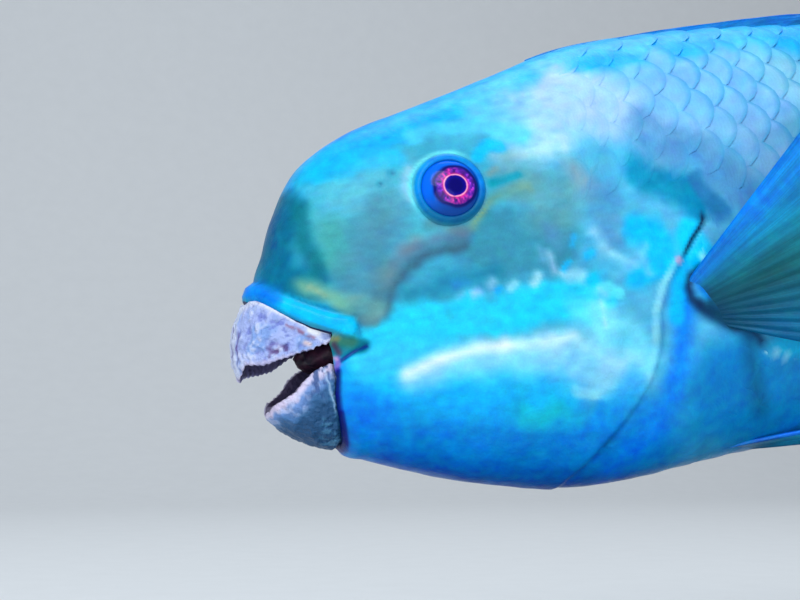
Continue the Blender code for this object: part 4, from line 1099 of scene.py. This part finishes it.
def fin_sheet(name, root, tip, normal, rays, rows, colour, thick=1.8, edge=0.7, ray=0.45, bow=0.0, sink=4.0,
              plug=0.0, inward=None, fork=0.3, tears=0.0, fine=8, slot="fin_blue"):
    """One fin. root, tip and normal give the ray's ends and the sheet's facing at u, 0 to 1."""
    u = np.linspace(0, 1, rays * fine + 1)
    start, end, facing = root(u), tip(u), normal(u)
    phase = u * rays - 0.5
    local = np.abs(phase - np.round(phase))
    gap = local * 2          # 0 on a ray, 1 between two
    jag = 0.018 * gap ** 2 + tears * np.clip(fin_grain(u * 60, u * 0, 1.0, 61), 0, 1)
    end = start + (end - start) * (1 - jag)[:, None]
    lean = (end - start) / np.linalg.norm(end - start, axis=1, keepdims=True)
    if inward:
        lean = lean * 0 - np.array(inward)
    U, V = np.meshgrid(u, np.linspace(0, 1, rows + 1) ** 0.9, indexing="ij")
    middle = start[:, None] + (end - start)[:, None] * V[..., None] + facing[:, None] * (bow * V ** 2)[..., None]
    middle = middle - lean[:, None] * (sink * np.clip(1 - V / 0.06, 0, 1))[..., None]
    # every ray forks twice on its way to the margin
    d = np.abs(local[:, None] - 0.2 * ease(V, fork, fork + 0.35))
    d = np.abs(d - 0.1 * ease(V, fork + 0.35, 1.05))
    ridge = ray * (1 - 0.72 * V) * bell(d, 0.12) * ease(1.0 - V, 0.0, 0.03) * (0.15 + 0.85 * ease(V, 0.08, 0.45))
    half = (thick + (edge - thick) * V ** 0.7) / 2 - ray * 0.15
    half = np.maximum(half * (1 - 0.36 * ease(V, 0.04, 0.4) * gap[:, None] ** 2), 0.22)
    half = half * (1 - 0.75 * ease(V, 0.985, 1.0)) + ridge + plug * ease(0.22 - V, 0, 0.22)
    near = np.minimum(np.minimum(U, 1 - U) * rays / 0.5, 1)
    half = half * (0.12 + 0.88 * np.sqrt(1 - (1 - near) ** 2))
    ripple = 0.35 * fin_grain(U * 30, V * 6, 2.2, 62) * V
    points = [middle + facing[:, None] * (ripple + way * half)[..., None] for way in (1, -1)]
    tones = np.clip(colour(U, V, ridge / ray), 0, 255).reshape(-1, 3)
    obj = cast(name, np.concatenate(points).reshape(-1, 3), sheet_faces(*U.shape, back=(0, 3, 2, 1)), fin_skin,
               tint(np.tile(tones, (2, 1))), uv=np.tile(np.stack([U, V], -1).reshape(-1, 2), (2, 1)))
    faced_out(obj)
    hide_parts(name.replace("_sheet", ""))
    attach(obj, "root")


def blend_tones(U, V, ridge, stops_u, stops_v, ray_tone, rib=0.5):
    """Tone across u over tone along v, with the rays picked out."""
    cover = table([(at, share) for at, _, share in stops_v], V)[..., None]
    tone = graded(U, stops_u) * (1 - cover) + graded(V, stops_v) * cover
    tone = dab(tone, ridge, ray_tone, rib)
    return tone * (1 + 0.10 * fin_grain(U * 40, V * 8, 1.0, 63))[..., None]


def upright(u):
    return np.tile(UPRIGHT, (len(u), 1))


def dorsal_root(u):
    x = 114 + 298 * u
    return np.stack([x, 0 * x, back_z(x) + 0.3], -1)


DORSAL_HIGH = ((0, 1.6), (0.1, 2.2), (0.2, 3.6), (0.3, 5.8), (0.37, 6.4), (0.5, 12), (0.65, 18), (0.82, 21),
               (0.94, 20), (1, 15))

def dorsal_tip(u):
    high = table(DORSAL_HIGH, u)
    return dorsal_root(u) + np.stack([6 + high * (1.5 - 0.5 * u), 0 * u, high - 0.22 * (6 + high)], -1)


def dorsal_paint(U, V, ridge):
    tone = blend_tones(
        U, V, ridge, ((0, (10, 128, 214)), (0.35, (12, 120, 206)), (0.6, (22, 130, 150)), (1, (20, 132, 140))),
        ((0, (16, 150, 190), 0.5), (0.3, NONE, 0.0), (0.8, (8, 92, 200), 0.2), (1, (6, 110, 240), 0.95)),
        (8, 60, 96), 0.45)
    return layered(tone, (ease(fin_grain(U * 90, V * 3, 1.6, 64), 0.1, 0.6), (6, 66, 104), 0.45),
                   (1 - ease(U, 0.15, 0.36), (16, 140, 228), 0.85))


fin_sheet("dorsal_fin_sheet", dorsal_root, dorsal_tip, upright, 19, 22, dorsal_paint, ray=0.35, fork=0.6,
          inward=(0, 0, -1), tears=0.03)


def anal_root(u):
    x = 268 + 124 * u
    return np.stack([x, 0 * x, belly_z(x) - 0.3], -1)


ANAL_HIGH = ((0, 8), (0.15, 15), (0.35, 21), (0.65, 21), (0.9, 19), (1, 15))


def anal_tip(u):
    high = table(ANAL_HIGH, u)
    return anal_root(u) + np.stack([1.1 * high, 0 * u, -0.67 * high], -1)


def anal_paint(U, V, ridge):
    return blend_tones(
        U, V, ridge, ((0, (26, 166, 190)), (1, (30, 176, 176))),
        ((0, (8, 110, 170), 0.7), (0.25, NONE, 0.0), (0.8, NONE, 0.0), (0.86, (6, 100, 226), 0.9),
         (1, (6, 92, 222), 1.0)), (10, 104, 140), 0.45)


fin_sheet("anal_fin_sheet", anal_root, anal_tip, upright, 11, 26, anal_paint, fork=0.45, inward=(0, 0, 1), tears=0.02)


def caudal_paint(U, V, ridge):
    return blend_tones(
        U, V, ridge, ((0, (6, 108, 224)), (0.1, (6, 112, 220)), (0.16, (60, 168, 176)), (0.24, (24, 150, 160)),
                      (1, (18, 142, 160))),
        ((0, (10, 130, 146), 0.6), (0.4, NONE, 0.0), (0.86, NONE, 0.0), (0.93, (120, 160, 150), 0.5),
         (1, (8, 104, 220), 0.95)), (8, 92, 120), 0.5)


def caudal(way):
    def root(u):
        return np.stack([465.3 - 8 + 0 * u, 0 * u, 6.5 + way * (23.7 * (1 - u) - 1.2)], -1)

    def tip(u):
        w = 1 - u
        return np.stack([465 + 76 + 42 * w ** 2.2, 0 * u, 6.5 + way * (35.5 * w + 27 * w ** 2 - 1.2)], -1)

    return root, tip


for way, half_name in ((1, "upper"), (-1, "lower")):
    fin_sheet(f"caudal_fin_{half_name}_sheet", *caudal(way), upright, 7, 60, caudal_paint, thick=3.2, edge=0.8,
              ray=0.5, sink=0.0, fine=14, fork=0.22, tears=0.02, slot="fin_teal")

PECTORAL = dict(top=(140.6, -28.8, -7.6), bottom=(151.2, -28.8, -18.4), first=(0.47, -0.6, 0.647),
                last=(0.76, -0.52, -0.4), lengths=((0, 96), (0.12, 107), (0.25, 106), (0.5, 88), (0.8, 61), (1, 45)))
PELVIC = dict(top=(158, -13.5, -60), bottom=(163, -5, -62.3), first=(0.955, -0.28, 0.03),
              last=(0.985, -0.11, -0.1), lengths=((0, 62), (0.2, 76), (0.6, 66), (1, 48)))


def fan(side, top, bottom, first, last, lengths):
    first, last = Vector(first).normalized(), Vector(last).normalized()
    flat = first.cross(last).normalized()
    mirror = np.array((1, -side, 1))

    def root(u):
        return (np.array(top) + (np.array(bottom) - np.array(top)) * u[:, None]) * mirror

    def tip(u):
        ways = np.array([first.slerp(last, float(k)) for k in u])
        return root(u) + ways * mirror * table(lengths, u)[:, None]

    def normal(u):
        return np.repeat((np.array(flat) * mirror)[None], len(u), 0)

    return root, tip, normal


def pectoral_paint(U, V, ridge):
    tone = blend_tones(
        U, V, ridge, ((0, (0, 140, 250)), (0.07, (0, 142, 246)), (0.13, (0, 150, 222)), (0.2, (0, 142, 184)),
                      (0.34, (0, 114, 130)), (0.45, (0, 100, 106)), (0.7, (0, 112, 150)), (1, (0, 128, 190))),
        ((0, (4, 126, 214), 0.5), (0.12, (4, 90, 120), 0.2), (0.4, NONE, 0.0), (0.8, (30, 140, 190), 0.3),
         (1, (60, 160, 200), 0.6)), (10, 150, 196), 0.22)
    return layered(tone, (ease(U, 0.3, 0.65) * (1 - ease(V, 0.15, 0.6)), (0, 70, 96), 0.6),
                   # dark along the root of the rays behind the leading edge: painted shade where the fin meets the
                   # body
                   (ease(U, 0.14, 0.34) * (1 - ease(V, 0.02, 0.22)), (0, 66, 96), 0.8),
                   ((1 - ease(U, 0.1, 0.2)) * (1 - ease(V, 0.05, 0.3)), (0, 126, 222), 0.8))


def pelvic_paint(U, V, ridge):
    return blend_tones(
        U, V, ridge, ((0, (10, 130, 250)), (0.12, (8, 128, 246)), (0.2, (30, 180, 240)), (0.45, (14, 150, 200)),
                      (1, (10, 130, 180))),
        ((0, (6, 150, 235), 0.6), (0.3, NONE, 0.0), (0.9, NONE, 0.0), (1, (10, 110, 220), 0.7)),
        (6, 84, 140), 0.4)


for side, hand in ((-1, "left"), (1, "right")):
    root, tip, normal = fan(side, **PECTORAL)
    fin_sheet(f"pectoral_fin_{hand}_sheet", root, tip, normal, 12, 64, pectoral_paint, thick=3.0, bow=6.0, ray=0.22,
              plug=0.5, inward=(0.15, -side, 0), sink=4.0, fork=0.32, tears=0.02, slot="fin_teal")
    root, tip, normal = fan(side, **PELVIC)
    fin_sheet(f"pelvic_fin_{hand}_sheet", root, tip, normal, 6, 44, pelvic_paint, thick=2.2, fork=0.3, tears=0.02,
              slot="fin_teal")


# --- The stand --------------------------------------------------------------------
# A flat block of oiled walnut with rounded edges, and two bright steel rods that are
# let into it and into blind holes in the belly.



def drawn_out(tree, scale):
    """A piece's own coordinates, scaled along each axis."""
    here = node(tree, "ShaderNodeTexCoord").outputs["Object"]
    return node(tree, "ShaderNodeMapping", in_Vector=here, in_Scale=scale).outputs[0]


walnut, tree, shader = finish_of("oiled_walnut", Coat_Weight=0.25, Coat_Roughness=0.2)
stretch = drawn_out(tree, (1.2, 14.0, 22.0))
bands, grain = noise(tree, 3.0, 6.0, stretch, in_Distortion=0.8), noise(tree, 26.0, 3.0, stretch)
wood = node(tree, "ShaderNodeHueSaturation", in_Value=ranged(tree, grain, 0.6, 1.25),
            in_Color=ramp(tree, bands, (0.028, 0.014, 0.008), (0.15, 0.078, 0.038), (0.3, 0.72)))
feed(shader, {"Base Color": wood.outputs[0], "Roughness": ranged(tree, grain, 0.28, 0.5),
              "Normal": bump(tree, 0.2, 0.0005, grain)})

steel, tree, shader = finish_of("turned_steel", 0.25, Metallic=1.0)
marks = noise(tree, 1.0, 3.0, drawn_out(tree, (20.0, 20.0, 2600.0)))
feed(shader, {"Base Color": ramp(tree, marks, (0.34, 0.35, 0.37), (0.66, 0.67, 0.69)),
              "Roughness": ranged(tree, marks, 0.18, 0.38), "Normal": bump(tree, 0.1, 0.0002, marks)})

for name, material in (("stand_base", walnut), ("stand_rod_front", steel), ("stand_rod_rear", steel)):
    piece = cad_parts[name].data
    piece.materials.clear()
    piece.materials.append(material)


# --- The room ---------------------------------------------------------------------
# A pale sheet of paper, curved up behind the model, under large soft lamps.

paper, tree, shader = finish_of("pale_paper", 0.8)
feed(shader, {"Base Color": ramp(tree, noise(tree, 40.0, 3.0), (0.70, 0.715, 0.73), (0.74, 0.755, 0.77))})
bend = [(1.6 + 1.2 * math.sin(t), 1.2 - 1.2 * math.cos(t)) for t in np.linspace(0.1, 1.57, 14)]
profile = [(-3.0, 0.0), (1.6, 0.0)] + bend + [(2.8, 4.0)]
n = len(profile)
floor = cast("paper_sheet", [(x, y, z) for x in (-4.0, 4.0) for y, z in profile],
             [(k, n + k, n + k + 1, k + 1) for k in range(n - 1)], paper, flat=True)


def lamp(name, at, toward, power, size, tone=(0.88, 0.95, 1)):
    light = bpy.data.lights.new(name, "AREA")
    light.energy, light.size, light.color, light.shape = power, size, tone, "DISK"
    obj = bpy.data.objects.new(name, light)
    obj.location = at
    obj.rotation_euler = (Vector(toward) - Vector(at)).to_track_quat("-Z", "Y").to_euler()
    bpy.context.scene.collection.objects.link(obj)


lamp("lamp_key", (-0.7, -1.35, 1.45), (-0.05, 0, 0.14), 22, 1.1)
lamp("lamp_fill", (-0.5, -2.0, 0.25), (-0.1, 0, 0.12), 14, 1.5)
lamp("lamp_top", (0.1, 0.4, 1.7), (0, 0, 0.15), 8, 1.2)
lamp("lamp_paper", (0.0, 0.9, 2.4), (0.0, 2.6, 0.4), 13, 1.6)
world = bpy.data.worlds.new("room")
bpy.context.scene.world = world
world.use_nodes = True
world.node_tree.nodes["Background"].inputs["Color"].default_value = (0.88, 0.93, 1.0, 1)
world.node_tree.nodes["Background"].inputs["Strength"].default_value = 0.42
bpy.context.scene.view_settings.view_transform = "Standard"

az, el, far = math.radians(-16), math.radians(-5), 0.5
aim = Vector((-0.14486, 0.0, 0.14058))
back = Vector((math.sin(az) * math.cos(el), -math.cos(az) * math.cos(el), math.sin(el)))
camera = bpy.data.objects.new("camera", bpy.data.cameras.new("camera"))
camera.data.lens = 69
camera.data.clip_start = 0.01
camera.location = aim + back * far
camera.rotation_euler = (-back).to_track_quat("-Z", "Y").to_euler()
bpy.context.scene.collection.objects.link(camera)
bpy.context.scene.camera = camera
